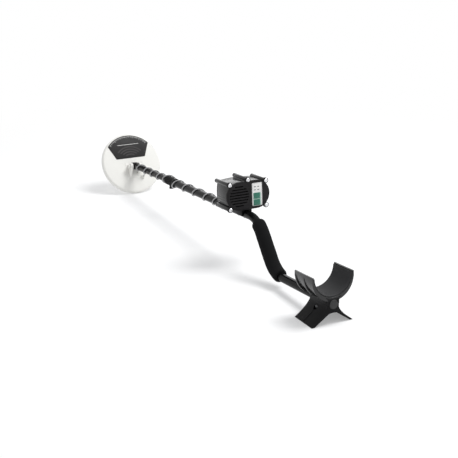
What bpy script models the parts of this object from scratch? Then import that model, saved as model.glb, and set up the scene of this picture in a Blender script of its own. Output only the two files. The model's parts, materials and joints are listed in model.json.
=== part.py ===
"""Metal detector with an S-shaped stem, standing on its search coil and its arm-cup stand.

The stem's front and rear runs are parallel. The stem frame has its origin on the coil's pivot,
+X along the stem towards the user and +Z square to it, and is tilted to its standing slope.
The coil frame has the same origin, +X towards the coil's heel and +Z out of its upper face.
"""
import math

import bmesh
import bpy
from mathutils import Vector

# Gap left between pieces that touch, running clearance and the length of all overlapping joins
GAP = 0.0003
RUNNING = 0.0005
JOIN = 0.0015

# Search coil
COIL_DIAMETER = 0.200
COIL_THICKNESS = 0.015
COIL_WALL = 0.0025
COIL_BASE = 0.003
COIL_TOP_FILLET = 0.004
COIL_BASE_CHAMFER = 0.0015
COIL_SPIGOT = 0.002
COIL_LEAN = math.radians(30)
WINDING_WIDTH = 0.004
WINDING_INSET = 0.004
RECEIVE_DIAMETER = 0.110
LABEL_THICKNESS = 0.0006
LABEL_INNER = 0.017
LABEL_HALF_WIDTH = 0.050
LABEL_MARGIN = 0.0055
LABEL_HALF_ANGLE = math.radians(50)

# Pivot between the coil and the stem
PIVOT_OFFSET = 0.0175
PIVOT_HEIGHT = 0.0325
TONGUE_WIDTH = 0.0165
TONGUE_HALF_HEIGHT = 0.0095
TONGUE_NOSE = 0.015
TONGUE_LENGTH = 0.016
TONGUE_SPIGOT = 0.034
WASHER_THICKNESS = 0.0015
WASHER_RADIUS = 0.0080
EAR_THICKNESS = 0.0085
EAR_RADIUS = 0.010
EAR_HEEL = 0.0315
EAR_TOE = 0.0115
PIVOT_BOLT_RADIUS = 0.0030
PIVOT_HEAD_RADIUS = 0.0075
PIVOT_HEAD = 0.005
PIVOT_NUT_RADIUS = 0.0105
PIVOT_NUT = 0.009
PIVOT_NUT_LOBES = 8

# Stem
STEM_SLOPE = math.radians(4.0)
LOWER_STEM_RADIUS = 0.0095
LOWER_STEM_WALL = 0.0015
LOWER_STEM_END = 0.450
UPPER_STEM_RADIUS = 0.0110
UPPER_STEM_START = 0.262
BEND_START = 0.777
BEND_RADIUS = 0.075
BEND_ANGLE = math.radians(55)
STEM_DROP = 0.1235
STEM_LENGTH = 1.2067
PLUG_FLANGE = 0.004
PLUG_SPIGOT = 0.014
GRIP_RADIUS = 0.0185
GRIP_START = 0.819
GRIP_LENGTH = 0.157
GRIP_END_FILLET = 0.003

# Clamp collar between the two stems
COLLAR_START = 0.256
COLLAR_LENGTH = 0.066
COLLAR_WALL = 0.0022
COLLAR_RIBS = 7
COLLAR_GROOVE = 0.0012
CLAMP_SCREW_AT = 0.286
CLAMP_BOSS_RADIUS = 0.0065
CLAMP_BOSS = 0.003
CLAMP_KNOB_RADIUS = 0.0075
CLAMP_KNOB = 0.005
CLAMP_SHANK_RADIUS = 0.0020

# Coil cable
CABLE_RADIUS = 0.00175
CABLE_STEPS = 12
GLAND_RADIUS = 0.0062
GLAND_HEIGHT = 0.009
COIL_GLAND_HEEL = 0.034
COIL_GLAND_SIDE = 0.026
WRAP_START = 0.0215
WRAP_BRIDGE_START = 0.240
WRAP_BRIDGE_END = 0.346
WRAP_END = 0.640
WRAP_CROSSINGS = (-0.012, 0.038, 0.098, 0.149, 0.199, 0.250, 0.326, 0.392, 0.460, 0.530, 0.588, 0.640)

# Control box: its front face is square to the stem, at this length along it
BOX_FRONT = 0.770
BOX_HEIGHT = 0.052
FACE_THICKNESS = 0.006
FACE_HALF_WIDTH = 0.062
FACE_RADIUS = 0.037
GASKET_THICKNESS = 0.0010
BODY_SPARE = 0.0145
BODY_HALF_WIDTH = 0.0495
BODY_HALF_HEIGHT = 0.032
BODY_BULGE = 0.003
BODY_CORNER = 0.004
BODY_WALL = 0.0025
REAR_THICKNESS = 0.004
COLUMN_RADIUS = 0.0055
COLUMN_SIDE = 0.052
COLUMN_LEVEL = 0.032
COLUMN_TOP = 0.040
BOX_BOLT_RADIUS = 0.0015
BOX_HEAD_RADIUS = 0.0052
BOX_HEAD = 0.0030
LOBE_RADIUS = 0.0072
GRILLE_SIDE = -0.026
GRILLE_RADIUS = 0.0275
GRILLE_SLOTS = 8
GRILLE_PITCH = 0.0071
GRILLE_SLOT = 0.0032
SPEAKER_RADIUS = 0.0222
SPEAKER_DEPTH = 0.018
MAGNET_RADIUS = 0.0110
PANEL_SIDE = 0.0250
PANEL_HALF_WIDTH = 0.0158
PANEL_HALF_HEIGHT = 0.0300
PANEL_THICKNESS = 0.0010
PAD_SIDE = 0.0235
PAD_HALF_WIDTH = 0.0092
PAD_HALF_HEIGHT = 0.0073
PAD_LEVELS = (-0.0038, -0.0210)
PAD_THICKNESS = 0.0010
PAD_TRAVEL = 0.0004
PLUNGER_RADIUS = 0.0025
SWITCH_SIZE = 0.006
SWITCH_HEIGHT = 0.0035
BOARD_THICKNESS = 0.0016
BATTERY_SIZE = (0.0485, 0.0265, 0.0175)
BATTERY_SIDE = 0.0155
BOX_GLAND_SIDE = -0.036
BOX_GLAND_LEVEL = -0.019
SOCKET_SIDE = -0.030
SOCKET_LEVEL = 0.018
SOCKET_NECK = 0.0045
SADDLE_HALF_WIDTH = 0.0150
SADDLE_MARGIN = 0.007
SADDLE_DEPTH = 0.004
SADDLE_SCREW_RADIUS = 0.0018
SADDLE_SCREW_SPACING = 0.034

# Arm cup and stand
CUP_MIDDLE = 1.119
CUP_LENGTH = 0.076
CUP_RADIUS = 0.0550
CUP_WALL = 0.0035
CUP_AXIS = 0.0690
CUP_HALF_ANGLE = math.radians(92)
CUP_RIB_WIDTH = 0.005
CUP_RIB_DEPTH = 0.007
CUP_BLOCK_HALF_WIDTH = 0.0155
PAD_LINING = 0.0025
PAD_LINING_HALF_ANGLE = math.radians(88)
STAND_LENGTH = 0.074
STAND_HALF_WIDTH = 0.0555
STAND_LEG = 0.0045
STAND_ROOF = 0.0135
CUP_BOLT_RADIUS = 0.0025
CUP_BOLT_OFFSET = 0.018
CUP_HEAD_RADIUS = 0.0050
CUP_HEAD = 0.0025
CROSS_BOLT_RADIUS = 0.0022
CROSS_BOLT_ROOM = 0.0013
CROSS_BOLT_OFFSET = -0.004
SPOT_FACE_RADIUS = 0.0062

# Sizes that follow from those above
COIL_RADIUS = COIL_DIAMETER / 2
HALF_COIL = COIL_THICKNESS / 2
SLOT_HALF = TONGUE_WIDTH / 2 + WASHER_THICKNESS + 2 * GAP
EAR_FACE = SLOT_HALF + EAR_THICKNESS
LEG_LENGTH = (STEM_DROP - 2 * BEND_RADIUS * (1 - math.cos(BEND_ANGLE))) / math.sin(BEND_ANGLE)
LEG_START = BEND_START + BEND_RADIUS * BEND_ANGLE
LEG_END = LEG_START + LEG_LENGTH
REAR_START = LEG_END + BEND_RADIUS * BEND_ANGLE
UPPER_STEM_BORE = LOWER_STEM_RADIUS + GAP
COLLAR_RADIUS = UPPER_STEM_RADIUS + GAP + COLLAR_WALL
BODY_LENGTH = BATTERY_SIZE[0] + BODY_SPARE
SADDLE_LENGTH = BODY_LENGTH - SADDLE_MARGIN
CROSS_BOLT_DROP = UPPER_STEM_RADIUS + CROSS_BOLT_RADIUS + CROSS_BOLT_ROOM
BODY_FRONT = BOX_FRONT - FACE_THICKNESS - GASKET_THICKNESS - 2 * GAP
BODY_REAR = BODY_FRONT - BODY_LENGTH
COLUMNS = (
    (-COLUMN_SIDE, COLUMN_LEVEL),
    (0.0, COLUMN_TOP),
    (COLUMN_SIDE, COLUMN_LEVEL),
    (COLUMN_SIDE, -COLUMN_LEVEL),
    (-COLUMN_SIDE, -COLUMN_LEVEL),
)


def stem_point(length):
    """Place (x, z) and downward slope on the stem's centreline, at a length from the pivot."""
    if length <= BEND_START:
        return length, 0.0, 0.0
    turn = min((length - BEND_START) / BEND_RADIUS, BEND_ANGLE)
    x = BEND_START + BEND_RADIUS * math.sin(turn)
    z = -BEND_RADIUS * (1 - math.cos(turn))
    if length <= LEG_START:
        return x, z, turn
    along = min(length, LEG_END) - LEG_START
    x += along * math.cos(BEND_ANGLE)
    z -= along * math.sin(BEND_ANGLE)
    if length <= LEG_END:
        return x, z, BEND_ANGLE
    back = min((length - LEG_END) / BEND_RADIUS, BEND_ANGLE)
    slope = BEND_ANGLE - back
    x += BEND_RADIUS * (math.sin(BEND_ANGLE) - math.sin(slope))
    z -= BEND_RADIUS * (math.cos(slope) - math.cos(BEND_ANGLE))
    return x + max(length - REAR_START, 0.0), z, slope


def stem_stations(start, end, turn_steps=7):
    """Lengths from start to end that a tube on the stem needs: its ends and points in the bends."""
    stations = {start, end}
    for first in (BEND_START, LEG_END):
        for step in range(turn_steps + 1):
            station = first + BEND_RADIUS * BEND_ANGLE * step / turn_steps
            if start + 0.001 < station < end - 0.001:
                stations.add(station)
    return sorted(stations)


# The rear run's place in the stem frame, and the pivot's place in the world
REAR_X = stem_point(REAR_START)[0] - REAR_START
REAR_END_X = STEM_LENGTH + REAR_X
HEEL_DROP = max(
    COIL_RADIUS * math.cos(COIL_LEAN) + (HALF_COIL - COIL_BASE_CHAMFER) * math.sin(COIL_LEAN),
    (COIL_RADIUS - COIL_BASE_CHAMFER) * math.cos(COIL_LEAN) + HALF_COIL * math.sin(COIL_LEAN),
)
PIVOT_Z = HEEL_DROP - PIVOT_OFFSET * math.cos(COIL_LEAN) + PIVOT_HEIGHT * math.sin(COIL_LEAN)
FRONT_REACH = (COIL_RADIUS - COIL_BASE_CHAMFER + PIVOT_OFFSET) * math.sin(COIL_LEAN) + (
    PIVOT_HEIGHT + HALF_COIL
) * math.cos(COIL_LEAN)
PLUG_FACE = REAR_END_X + GAP + PLUG_FLANGE
REAR_REACH = PLUG_FACE * math.cos(STEM_SLOPE) + (STEM_DROP + UPPER_STEM_RADIUS) * math.sin(STEM_SLOPE)
PIVOT_X = (FRONT_REACH - REAR_REACH) / 2


def stem_to_world(x, z):
    """World (x, z) of a place in the stem frame."""
    return (
        PIVOT_X + x * math.cos(STEM_SLOPE) - z * math.sin(STEM_SLOPE),
        PIVOT_Z + x * math.sin(STEM_SLOPE) + z * math.cos(STEM_SLOPE),
    )


# ---------------------------------------------------------------- modelling tools

for leftover in list(bpy.data.objects):
    bpy.data.objects.remove(leftover, do_unlink=True)

PARTS = bpy.data.collections.new("metal_detector")
CUTTERS = bpy.data.collections.new("cutters")
bpy.context.scene.collection.children.link(PARTS)
bpy.context.scene.collection.children.link(CUTTERS)


def material(name, colour, roughness, metallic=0.0):
    """A plain Principled material."""
    made = bpy.data.materials.new(name)
    made.use_nodes = True
    shader = made.node_tree.nodes["Principled BSDF"]
    shader.inputs["Base Color"].default_value = (*colour, 1.0)
    shader.inputs["Roughness"].default_value = roughness
    shader.inputs["Metallic"].default_value = metallic
    return made


def frame(name, location, tilt=0.0, parent=None):
    """An empty that pieces are placed in, turned about Y by tilt."""
    empty = bpy.data.objects.new(name, None)
    PARTS.objects.link(empty)
    empty.location = location
    empty.rotation_euler = (0.0, tilt, 0.0)
    empty.parent = parent
    return empty


def placed(obj, parent, location=(0.0, 0.0, 0.0), rotation=(0.0, 0.0, 0.0)):
    """Put an object into a frame."""
    obj.parent = parent
    obj.location = location
    obj.rotation_euler = rotation
    return obj


def linked(name, mesh):
    """A new part that holds the mesh."""
    obj = bpy.data.objects.new(name, mesh)
    PARTS.objects.link(obj)
    return obj


def finished(obj, look, smooth=True):
    """Give a part its material and shading."""
    obj.data.materials.clear()
    obj.data.materials.append(look)
    if smooth:
        obj.data.shade_smooth()
        obj.data.set_sharp_from_angle(angle=math.radians(35))
    return obj


def mesh_from_curve(name, curve):
    """The welded mesh of a curve's tube or filled outline, in place of the curve."""
    source = bpy.data.objects.new(name, curve)
    PARTS.objects.link(source)
    graph = bpy.context.evaluated_depsgraph_get()
    mesh = bpy.data.meshes.new_from_object(source.evaluated_get(graph))
    shell = bmesh.new()
    shell.from_mesh(mesh)
    bmesh.ops.remove_doubles(shell, verts=shell.verts, dist=0.00001)
    bmesh.ops.recalc_face_normals(shell, faces=shell.faces)
    shell.to_mesh(mesh)
    shell.free()
    bpy.data.objects.remove(source, do_unlink=True)
    obj = linked(name, mesh)
    return obj


def tube(name, points, radius, resolution=8):
    """A round solid along points; it has 2 * (resolution + 2) sides."""
    curve = bpy.data.curves.new(name, "CURVE")
    curve.dimensions = "3D"
    curve.bevel_depth = radius
    curve.bevel_resolution = resolution
    curve.use_fill_caps = True
    spline = curve.splines.new("POLY")
    spline.points.add(len(points) - 1)
    for slot, point in zip(spline.points, points):
        slot.co = (*point, 1.0)
    return mesh_from_curve(name, curve)


def outline_solid(name, loops, thickness):
    """A flat solid in XY, centred on Z; loops inside the first are holes."""
    curve = bpy.data.curves.new(name, "CURVE")
    curve.dimensions = "2D"
    curve.fill_mode = "BOTH"
    curve.extrude = thickness / 2
    for loop in loops:
        spline = curve.splines.new("POLY")
        spline.points.add(len(loop) - 1)
        for slot, (x, y) in zip(spline.points, loop):
            slot.co = (x, y, 0.0, 1.0)
        spline.use_cyclic_u = True
    return mesh_from_curve(name, curve)


def turned(name, profile, steps=40, closed=False):
    """A solid turned about Z from (radius, z) points that run down its outer side."""
    count = len(profile)
    edges = [(index, index + 1) for index in range(count - 1)]
    if closed:
        edges.append((count - 1, 0))
    mesh = bpy.data.meshes.new(name)
    mesh.from_pydata([(radius, 0.0, z) for radius, z in profile], edges, [])
    obj = linked(name, mesh)
    screw = obj.modifiers.new("turn", "SCREW")
    screw.axis = "Z"
    screw.steps = steps
    screw.render_steps = steps
    screw.use_merge_vertices = True
    screw.merge_threshold = 0.00001
    screw.use_smooth_shade = True
    return obj


def cylinder(name, radius, length, sides=20):
    """A cylinder along Z, centred on the origin."""
    shape = bmesh.new()
    bmesh.ops.create_cone(
        shape, cap_ends=True, segments=sides, radius1=radius, radius2=radius, depth=length
    )
    mesh = bpy.data.meshes.new(name)
    shape.to_mesh(mesh)
    shape.free()
    return linked(name, mesh)


def block(name, size, bevel=0.0):
    """A box centred on the origin, with rounded edges where bevel is given."""
    shape = bmesh.new()
    bmesh.ops.create_cube(shape, size=1.0)
    bmesh.ops.scale(shape, vec=Vector(size), verts=shape.verts)
    mesh = bpy.data.meshes.new(name)
    shape.to_mesh(mesh)
    shape.free()
    obj = linked(name, mesh)
    if bevel:
        edge = obj.modifiers.new("edges", "BEVEL")
        edge.width = bevel
        edge.segments = 2
        edge.limit_method = "ANGLE"
    return obj


def combine(obj, tool, operation):
    """Cut the tool out of a part, or join it on; the tool becomes a hidden cutter."""
    PARTS.objects.unlink(tool)
    CUTTERS.objects.link(tool)
    tool.hide_render = True
    tool.display_type = "WIRE"
    change = obj.modifiers.new(tool.name, "BOOLEAN")
    change.operation = operation
    change.solver = "EXACT"
    change.object = tool
    return obj


def arc(centre, radius, start, end, steps):
    """Points on an arc in a plane, with angles in radians."""
    points = []
    for step in range(steps + 1):
        angle = start + (end - start) * step / steps
        points.append((centre[0] + radius * math.cos(angle), centre[1] + radius * math.sin(angle)))
    return points


def circle(centre, radius, steps=16):
    """A closed circle."""
    return arc(centre, radius, 0.0, 2 * math.pi, steps)[:-1]


def rectangle(centre, half_width, half_height, corner=0.0, steps=3):
    """A closed rectangle, with round corners where a radius is given."""
    x, y = centre
    if not corner:
        return [
            (x - half_width, y - half_height),
            (x + half_width, y - half_height),
            (x + half_width, y + half_height),
            (x - half_width, y + half_height),
        ]
    points = []
    for quarter, (side, level) in enumerate(((1, 1), (-1, 1), (-1, -1), (1, -1))):
        middle = (x + side * (half_width - corner), y + level * (half_height - corner))
        start = quarter * math.pi / 2
        points += arc(middle, corner, start, start + math.pi / 2, steps)
    return points


def bulged(half_width, half_height, corner, bulge, steps=5):
    """A closed rectangle with round corners, whose four sides swell by bulge."""
    plain = rectangle((0.0, 0.0), half_width, half_height, corner)
    quarter = len(plain) // 4
    points = []
    for index in range(4):
        points += plain[index * quarter:(index + 1) * quarter]
        start = Vector(plain[(index + 1) * quarter - 1])
        end = Vector(plain[(index + 1) * quarter % len(plain)])
        run = end - start
        outward = Vector((run.y, -run.x)).normalized()
        for step in range(1, steps):
            share = step / steps
            swell = bulge * (1 - (2 * share - 1) ** 2)
            points.append(tuple(start + run * share + outward * swell))
    return points


ALONG = (0.0, math.pi / 2, 0.0)
ACROSS = (math.pi / 2, 0.0, 0.0)
UPRIGHT = (math.pi / 2, 0.0, math.pi / 2)

STEM = frame("stem_frame", (PIVOT_X, 0.0, PIVOT_Z), -STEM_SLOPE)
COIL = frame("coil_frame", (PIVOT_X, 0.0, PIVOT_Z), math.pi / 2 - COIL_LEAN)
DISC = frame("disc_frame", (-PIVOT_OFFSET, 0.0, -PIVOT_HEIGHT), parent=COIL)
BOX = frame("box_frame", (BOX_FRONT, 0.0, BOX_HEIGHT), parent=STEM)
REAR = frame("rear_frame", (CUP_MIDDLE, 0.0, -STEM_DROP), parent=STEM)
REAR_WORLD = stem_to_world(CUP_MIDDLE, -STEM_DROP)
GROUND = frame("ground_frame", (REAR_WORLD[0], 0.0, 0.0))

WHITE = material("white_abs", (0.86, 0.86, 0.83), 0.35)
WHITE_NYLON = material("white_nylon", (0.84, 0.84, 0.80), 0.45)
BLACK_GLOSS = material("black_gloss", (0.012, 0.012, 0.013), 0.12)
BLACK_PLASTIC = material("black_plastic", (0.016, 0.016, 0.017), 0.35)
CHARCOAL = material("charcoal_plastic", (0.028, 0.027, 0.029), 0.5)
GREY_PLASTIC = material("grey_plastic", (0.045, 0.045, 0.045), 0.45)
RUBBER = material("black_rubber", (0.02, 0.02, 0.02), 0.8)
FOAM = material("black_foam", (0.018, 0.018, 0.018), 0.95)
LABEL = material("label_film", (0.035, 0.034, 0.033), 0.4)
PANEL = material("panel_film", (0.80, 0.79, 0.78), 0.35)
GREEN = material("green_pad", (0.02, 0.16, 0.11), 0.35)
CHROME = material("chromed_steel", (0.75, 0.76, 0.77), 0.15, 1.0)
STEEL = material("zinc_steel", (0.55, 0.56, 0.57), 0.3, 1.0)
COPPER = material("enamelled_copper", (0.55, 0.22, 0.09), 0.35, 1.0)
BOARD = material("circuit_board", (0.02, 0.14, 0.05), 0.5)
PAPER = material("speaker_cone", (0.03, 0.03, 0.03), 0.9)
BATTERY = material("battery_case", (0.10, 0.10, 0.12), 0.35)


# ---------------------------------------------------------------- search coil

def coil_top_shell():
    """Moulded cover of the coil, open below, with two ears for the stem's tongue."""
    seam = -HALF_COIL + COIL_BASE + GAP
    inner = COIL_RADIUS - COIL_WALL
    ceiling = HALF_COIL - COIL_WALL
    shoulder = (COIL_RADIUS - COIL_TOP_FILLET, HALF_COIL - COIL_TOP_FILLET)
    profile = [(0.0, HALF_COIL)]
    profile += arc(shoulder, COIL_TOP_FILLET, math.pi / 2, 0.0, 4)
    profile += [(COIL_RADIUS, seam), (inner, seam), (inner, ceiling), (0.0, ceiling)]
    shell = turned("coil_top_shell", profile, steps=64)
    foot = HALF_COIL - JOIN - PIVOT_HEIGHT
    ear = arc((0.0, 0.0), EAR_RADIUS, math.radians(-25), math.radians(205), 10)
    ear += [(-EAR_TOE, foot), (EAR_HEEL, foot)]
    for name, side in (("near_ear", -1), ("far_ear", 1)):
        tool = outline_solid(name, [ear], EAR_THICKNESS)
        middle = side * (SLOT_HALF + EAR_THICKNESS / 2)
        placed(tool, COIL, (0.0, middle, 0.0), ACROSS)
        combine(shell, tool, "UNION")
    hole = cylinder("pivot_hole", PIVOT_BOLT_RADIUS + GAP, 3 * EAR_FACE)
    placed(hole, COIL, rotation=ACROSS)
    combine(shell, hole, "DIFFERENCE")
    return finished(placed(shell, DISC), WHITE)


def coil_base_plate():
    """Flat underside of the coil, with a spigot that fits inside the cover."""
    top = -HALF_COIL + COIL_BASE
    spigot = COIL_RADIUS - COIL_WALL - GAP
    profile = [
        (0.0, top + COIL_SPIGOT),
        (spigot, top + COIL_SPIGOT),
        (spigot, top),
        (COIL_RADIUS, top),
        (COIL_RADIUS, -HALF_COIL + COIL_BASE_CHAMFER),
        (COIL_RADIUS - COIL_BASE_CHAMFER, -HALF_COIL),
        (0.0, -HALF_COIL),
    ]
    return finished(placed(turned("coil_base_plate", profile, steps=64), DISC), WHITE)


def winding(name, outer):
    """A wound ring that fills the height between the base plate and the cover."""
    low = -HALF_COIL + COIL_BASE + COIL_SPIGOT + GAP
    high = HALF_COIL - COIL_WALL - GAP
    inner = outer - WINDING_WIDTH
    profile = [(outer, high), (outer, low), (inner, low), (inner, high)]
    ring = turned(name, profile, steps=40, closed=True)
    return finished(placed(ring, DISC), COPPER)


def coil_label():
    """Black film on the toe half of the cover: a ring sector with a straight inner edge."""
    radius = COIL_RADIUS - LABEL_MARGIN
    outer = arc((0.0, 0.0), radius, math.pi - LABEL_HALF_ANGLE, math.pi + LABEL_HALF_ANGLE, 20)
    loop = outer + [(-LABEL_INNER, -LABEL_HALF_WIDTH), (-LABEL_INNER, LABEL_HALF_WIDTH)]
    label = outline_solid("coil_label", [loop], LABEL_THICKNESS)
    height = HALF_COIL + GAP / 2 + LABEL_THICKNESS / 2
    return finished(placed(label, DISC, (0.0, 0.0, height)), LABEL, smooth=False)


def cable_gland(name, look):
    """Strain relief that a cable leaves along +Z: a ribbed nose with a bore."""
    bore = CABLE_RADIUS + GAP
    nose = bore + 0.0014
    profile = [
        (bore, GLAND_HEIGHT),
        (nose, GLAND_HEIGHT),
        (GLAND_RADIUS, GLAND_HEIGHT * 0.45),
        (GLAND_RADIUS, 0.0),
        (bore, 0.0),
    ]
    return finished(turned(name, profile, steps=20, closed=True), look)


def pivot_bolt():
    """Nylon bolt through the ears and the tongue: a hexagon head and a shank."""
    reach = EAR_FACE + PIVOT_NUT + 4 * GAP
    shank = cylinder("pivot_bolt", PIVOT_BOLT_RADIUS, EAR_FACE + reach + JOIN, 20)
    placed(shank, COIL, (0.0, (reach - EAR_FACE - JOIN) / 2, 0.0), ACROSS)
    head = cylinder("pivot_bolt_head", PIVOT_HEAD_RADIUS, PIVOT_HEAD, 6)
    placed(head, COIL, (0.0, -EAR_FACE - GAP - PIVOT_HEAD / 2, 0.0), ACROSS)
    return finished(combine(shank, head, "UNION"), WHITE_NYLON)


def pivot_nut():
    """Lobed thumb nut on the far end of the pivot bolt."""
    lobed = []
    for step in range(PIVOT_NUT_LOBES * 6):
        angle = 2 * math.pi * step / (PIVOT_NUT_LOBES * 6)
        radius = PIVOT_NUT_RADIUS * (0.93 + 0.07 * math.cos(PIVOT_NUT_LOBES * angle))
        lobed.append((radius * math.cos(angle), radius * math.sin(angle)))
    bore = circle((0.0, 0.0), PIVOT_BOLT_RADIUS + GAP)
    nut = outline_solid("pivot_thumb_nut", [lobed, bore], PIVOT_NUT)
    middle = EAR_FACE + GAP + PIVOT_NUT / 2
    return finished(placed(nut, COIL, (0.0, middle, 0.0), ACROSS), WHITE_NYLON)


def pivot_washer(name, side):
    """Rubber friction washer between an ear and the tongue."""
    outer = circle((0.0, 0.0), WASHER_RADIUS, 24)
    bore = circle((0.0, 0.0), PIVOT_BOLT_RADIUS + GAP)
    washer = outline_solid(name, [outer, bore], WASHER_THICKNESS)
    middle = side * (TONGUE_WIDTH / 2 + GAP + WASHER_THICKNESS / 2)
    return finished(placed(washer, COIL, (0.0, middle, 0.0), ACROSS), RUBBER)


# ---------------------------------------------------------------- stem

def stem_tongue():
    """Moulded tip of the lower stem: a tongue between the ears and a spigot in the tube."""
    middle = ((TONGUE_LENGTH - TONGUE_NOSE) / 2, 0.0)
    face = rectangle(middle, (TONGUE_LENGTH + TONGUE_NOSE) / 2, TONGUE_HALF_HEIGHT, 0.003)
    bore = circle((0.0, 0.0), PIVOT_BOLT_RADIUS + GAP)
    tongue = outline_solid("stem_tongue", [face, bore], TONGUE_WIDTH)
    placed(tongue, STEM, rotation=ACROSS)
    radius = LOWER_STEM_RADIUS - LOWER_STEM_WALL - GAP
    spigot = cylinder("tongue_spigot", radius, TONGUE_SPIGOT + JOIN, 20)
    middle = TONGUE_LENGTH + (TONGUE_SPIGOT - JOIN) / 2
    placed(spigot, STEM, (middle, 0.0, 0.0), ALONG)
    return finished(combine(tongue, spigot, "UNION"), BLACK_PLASTIC)


def lower_stem():
    """Straight tube that slides in the upper stem."""
    start = TONGUE_LENGTH + GAP
    inner = LOWER_STEM_RADIUS - LOWER_STEM_WALL
    profile = [
        (LOWER_STEM_RADIUS, LOWER_STEM_END),
        (LOWER_STEM_RADIUS, start),
        (inner, start),
        (inner, LOWER_STEM_END),
    ]
    pipe = turned("lower_stem", profile, steps=20, closed=True)
    return finished(placed(pipe, STEM, rotation=ALONG), BLACK_GLOSS)


def stem_route(start, end):
    """Points on the stem's centreline in the stem frame."""
    return [(x, 0.0, z) for x, z, _ in map(stem_point, stem_stations(start, end))]


def upper_stem():
    """One bent tube: front run, drop under the grip and rear run under the arm cup."""
    outer = tube("upper_stem", stem_route(UPPER_STEM_START, STEM_LENGTH), UPPER_STEM_RADIUS)
    bore_route = stem_route(UPPER_STEM_START, STEM_LENGTH)
    bore_route[0] = (bore_route[0][0] - JOIN, 0.0, bore_route[0][2])
    bore_route[-1] = (bore_route[-1][0] + JOIN, 0.0, bore_route[-1][2])
    bore = tube("upper_stem_bore", bore_route, UPPER_STEM_BORE)
    placed(bore, STEM)
    combine(outer, bore, "DIFFERENCE")
    holes = [(x, 0.0, SADDLE_SCREW_RADIUS) for x in saddle_screw_places()]
    holes.append((CUP_MIDDLE + CUP_BOLT_OFFSET, -STEM_DROP, CUP_BOLT_RADIUS))
    for index, (x, z, radius) in enumerate(holes):
        hole = cylinder(f"stem_hole_{index + 1}", radius + GAP, 3 * UPPER_STEM_RADIUS, 12)
        placed(hole, STEM, (x, 0.0, z))
        combine(outer, hole, "DIFFERENCE")
    return finished(placed(outer, STEM), BLACK_GLOSS)


def stem_end_plug():
    """Eight-sided plug that closes the rear end of the stem."""
    spigot = UPPER_STEM_BORE - GAP
    profile = [
        (0.0, PLUG_FLANGE),
        (UPPER_STEM_RADIUS - 0.001, PLUG_FLANGE),
        (UPPER_STEM_RADIUS, PLUG_FLANGE - 0.001),
        (UPPER_STEM_RADIUS, 0.0),
        (spigot, 0.0),
        (spigot, -PLUG_SPIGOT),
        (0.0, -PLUG_SPIGOT),
    ]
    plug = turned("stem_end_plug", profile, steps=16)
    place = (REAR_END_X + GAP, 0.0, -STEM_DROP)
    return finished(placed(plug, STEM, place, ALONG), GREY_PLASTIC, smooth=False)


def grip_foam():
    """Foam sleeve over the bent part of the stem."""
    end = GRIP_START + GRIP_LENGTH
    inner = stem_stations(GRIP_START + GRIP_END_FILLET, end - GRIP_END_FILLET, 5)
    stations = [GRIP_START] + inner + [end]
    points = [(x, 0.0, z) for x, z, _ in map(stem_point, stations)]
    sleeve = tube("grip_foam", points, GRIP_RADIUS, 8)
    bore_route = stem_route(BEND_START - 2 * JOIN, REAR_START + 2 * JOIN)
    bore = tube("grip_bore", bore_route, UPPER_STEM_RADIUS + GAP)
    placed(bore, STEM)
    combine(sleeve, bore, "DIFFERENCE")
    return finished(placed(sleeve, STEM), FOAM)


def clamp_collar():
    """Ribbed collar on the upper stem's mouth, with a boss below for the clamp screw."""
    front = COLLAR_START
    back = COLLAR_START + COLLAR_LENGTH
    lip = UPPER_STEM_START - GAP
    mouth = LOWER_STEM_RADIUS + GAP
    seat = UPPER_STEM_RADIUS + GAP
    groove = COLLAR_RADIUS - COLLAR_GROOVE
    pitch = (COLLAR_LENGTH - 0.020) / COLLAR_RIBS
    profile = [(seat, back), (COLLAR_RADIUS - 0.002, back), (COLLAR_RADIUS, back - 0.003)]
    for rib in range(COLLAR_RIBS):
        top = back - 0.008 - rib * pitch
        profile += [(COLLAR_RADIUS, top), (groove, top - 0.001)]
        profile += [(groove, top - pitch * 0.5), (COLLAR_RADIUS, top - pitch * 0.5 - 0.001)]
    profile += [(COLLAR_RADIUS, front + 0.002), (COLLAR_RADIUS - 0.002, front)]
    profile += [(mouth, front), (mouth, lip), (seat, lip)]
    collar = turned("clamp_collar", profile, steps=24, closed=True)
    placed(collar, STEM, rotation=ALONG)
    boss = cylinder("clamp_boss", CLAMP_BOSS_RADIUS, CLAMP_BOSS + 0.002, 16)
    height = -COLLAR_RADIUS - CLAMP_BOSS / 2 + 0.001
    placed(boss, STEM, (CLAMP_SCREW_AT, 0.0, height))
    combine(collar, boss, "UNION")
    hole = cylinder("clamp_hole", CLAMP_SHANK_RADIUS + GAP, 0.030, 12)
    placed(hole, STEM, (CLAMP_SCREW_AT, 0.0, -COLLAR_RADIUS - CLAMP_BOSS))
    combine(collar, hole, "DIFFERENCE")
    return finished(collar, BLACK_PLASTIC)


def clamp_screw():
    """Thumb screw in the collar's boss; its shank ends just clear of the upper stem."""
    floor = -COLLAR_RADIUS - CLAMP_BOSS
    tip = -UPPER_STEM_RADIUS - GAP
    low = floor - GAP - CLAMP_KNOB
    lobed = []
    for step in range(48):
        angle = 2 * math.pi * step / 48
        radius = CLAMP_KNOB_RADIUS * (0.95 + 0.05 * math.cos(12 * angle))
        lobed.append((radius * math.cos(angle), radius * math.sin(angle)))
    knob = outline_solid("clamp_screw", [lobed], CLAMP_KNOB)
    placed(knob, STEM, (CLAMP_SCREW_AT, 0.0, low + CLAMP_KNOB / 2))
    length = tip - low - CLAMP_KNOB / 2
    shank = cylinder("clamp_shank", CLAMP_SHANK_RADIUS, length, 12)
    placed(shank, STEM, (CLAMP_SCREW_AT, 0.0, tip - length / 2))
    return finished(combine(knob, shank, "UNION"), BLACK_PLASTIC)


# ---------------------------------------------------------------- coil cable

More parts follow.
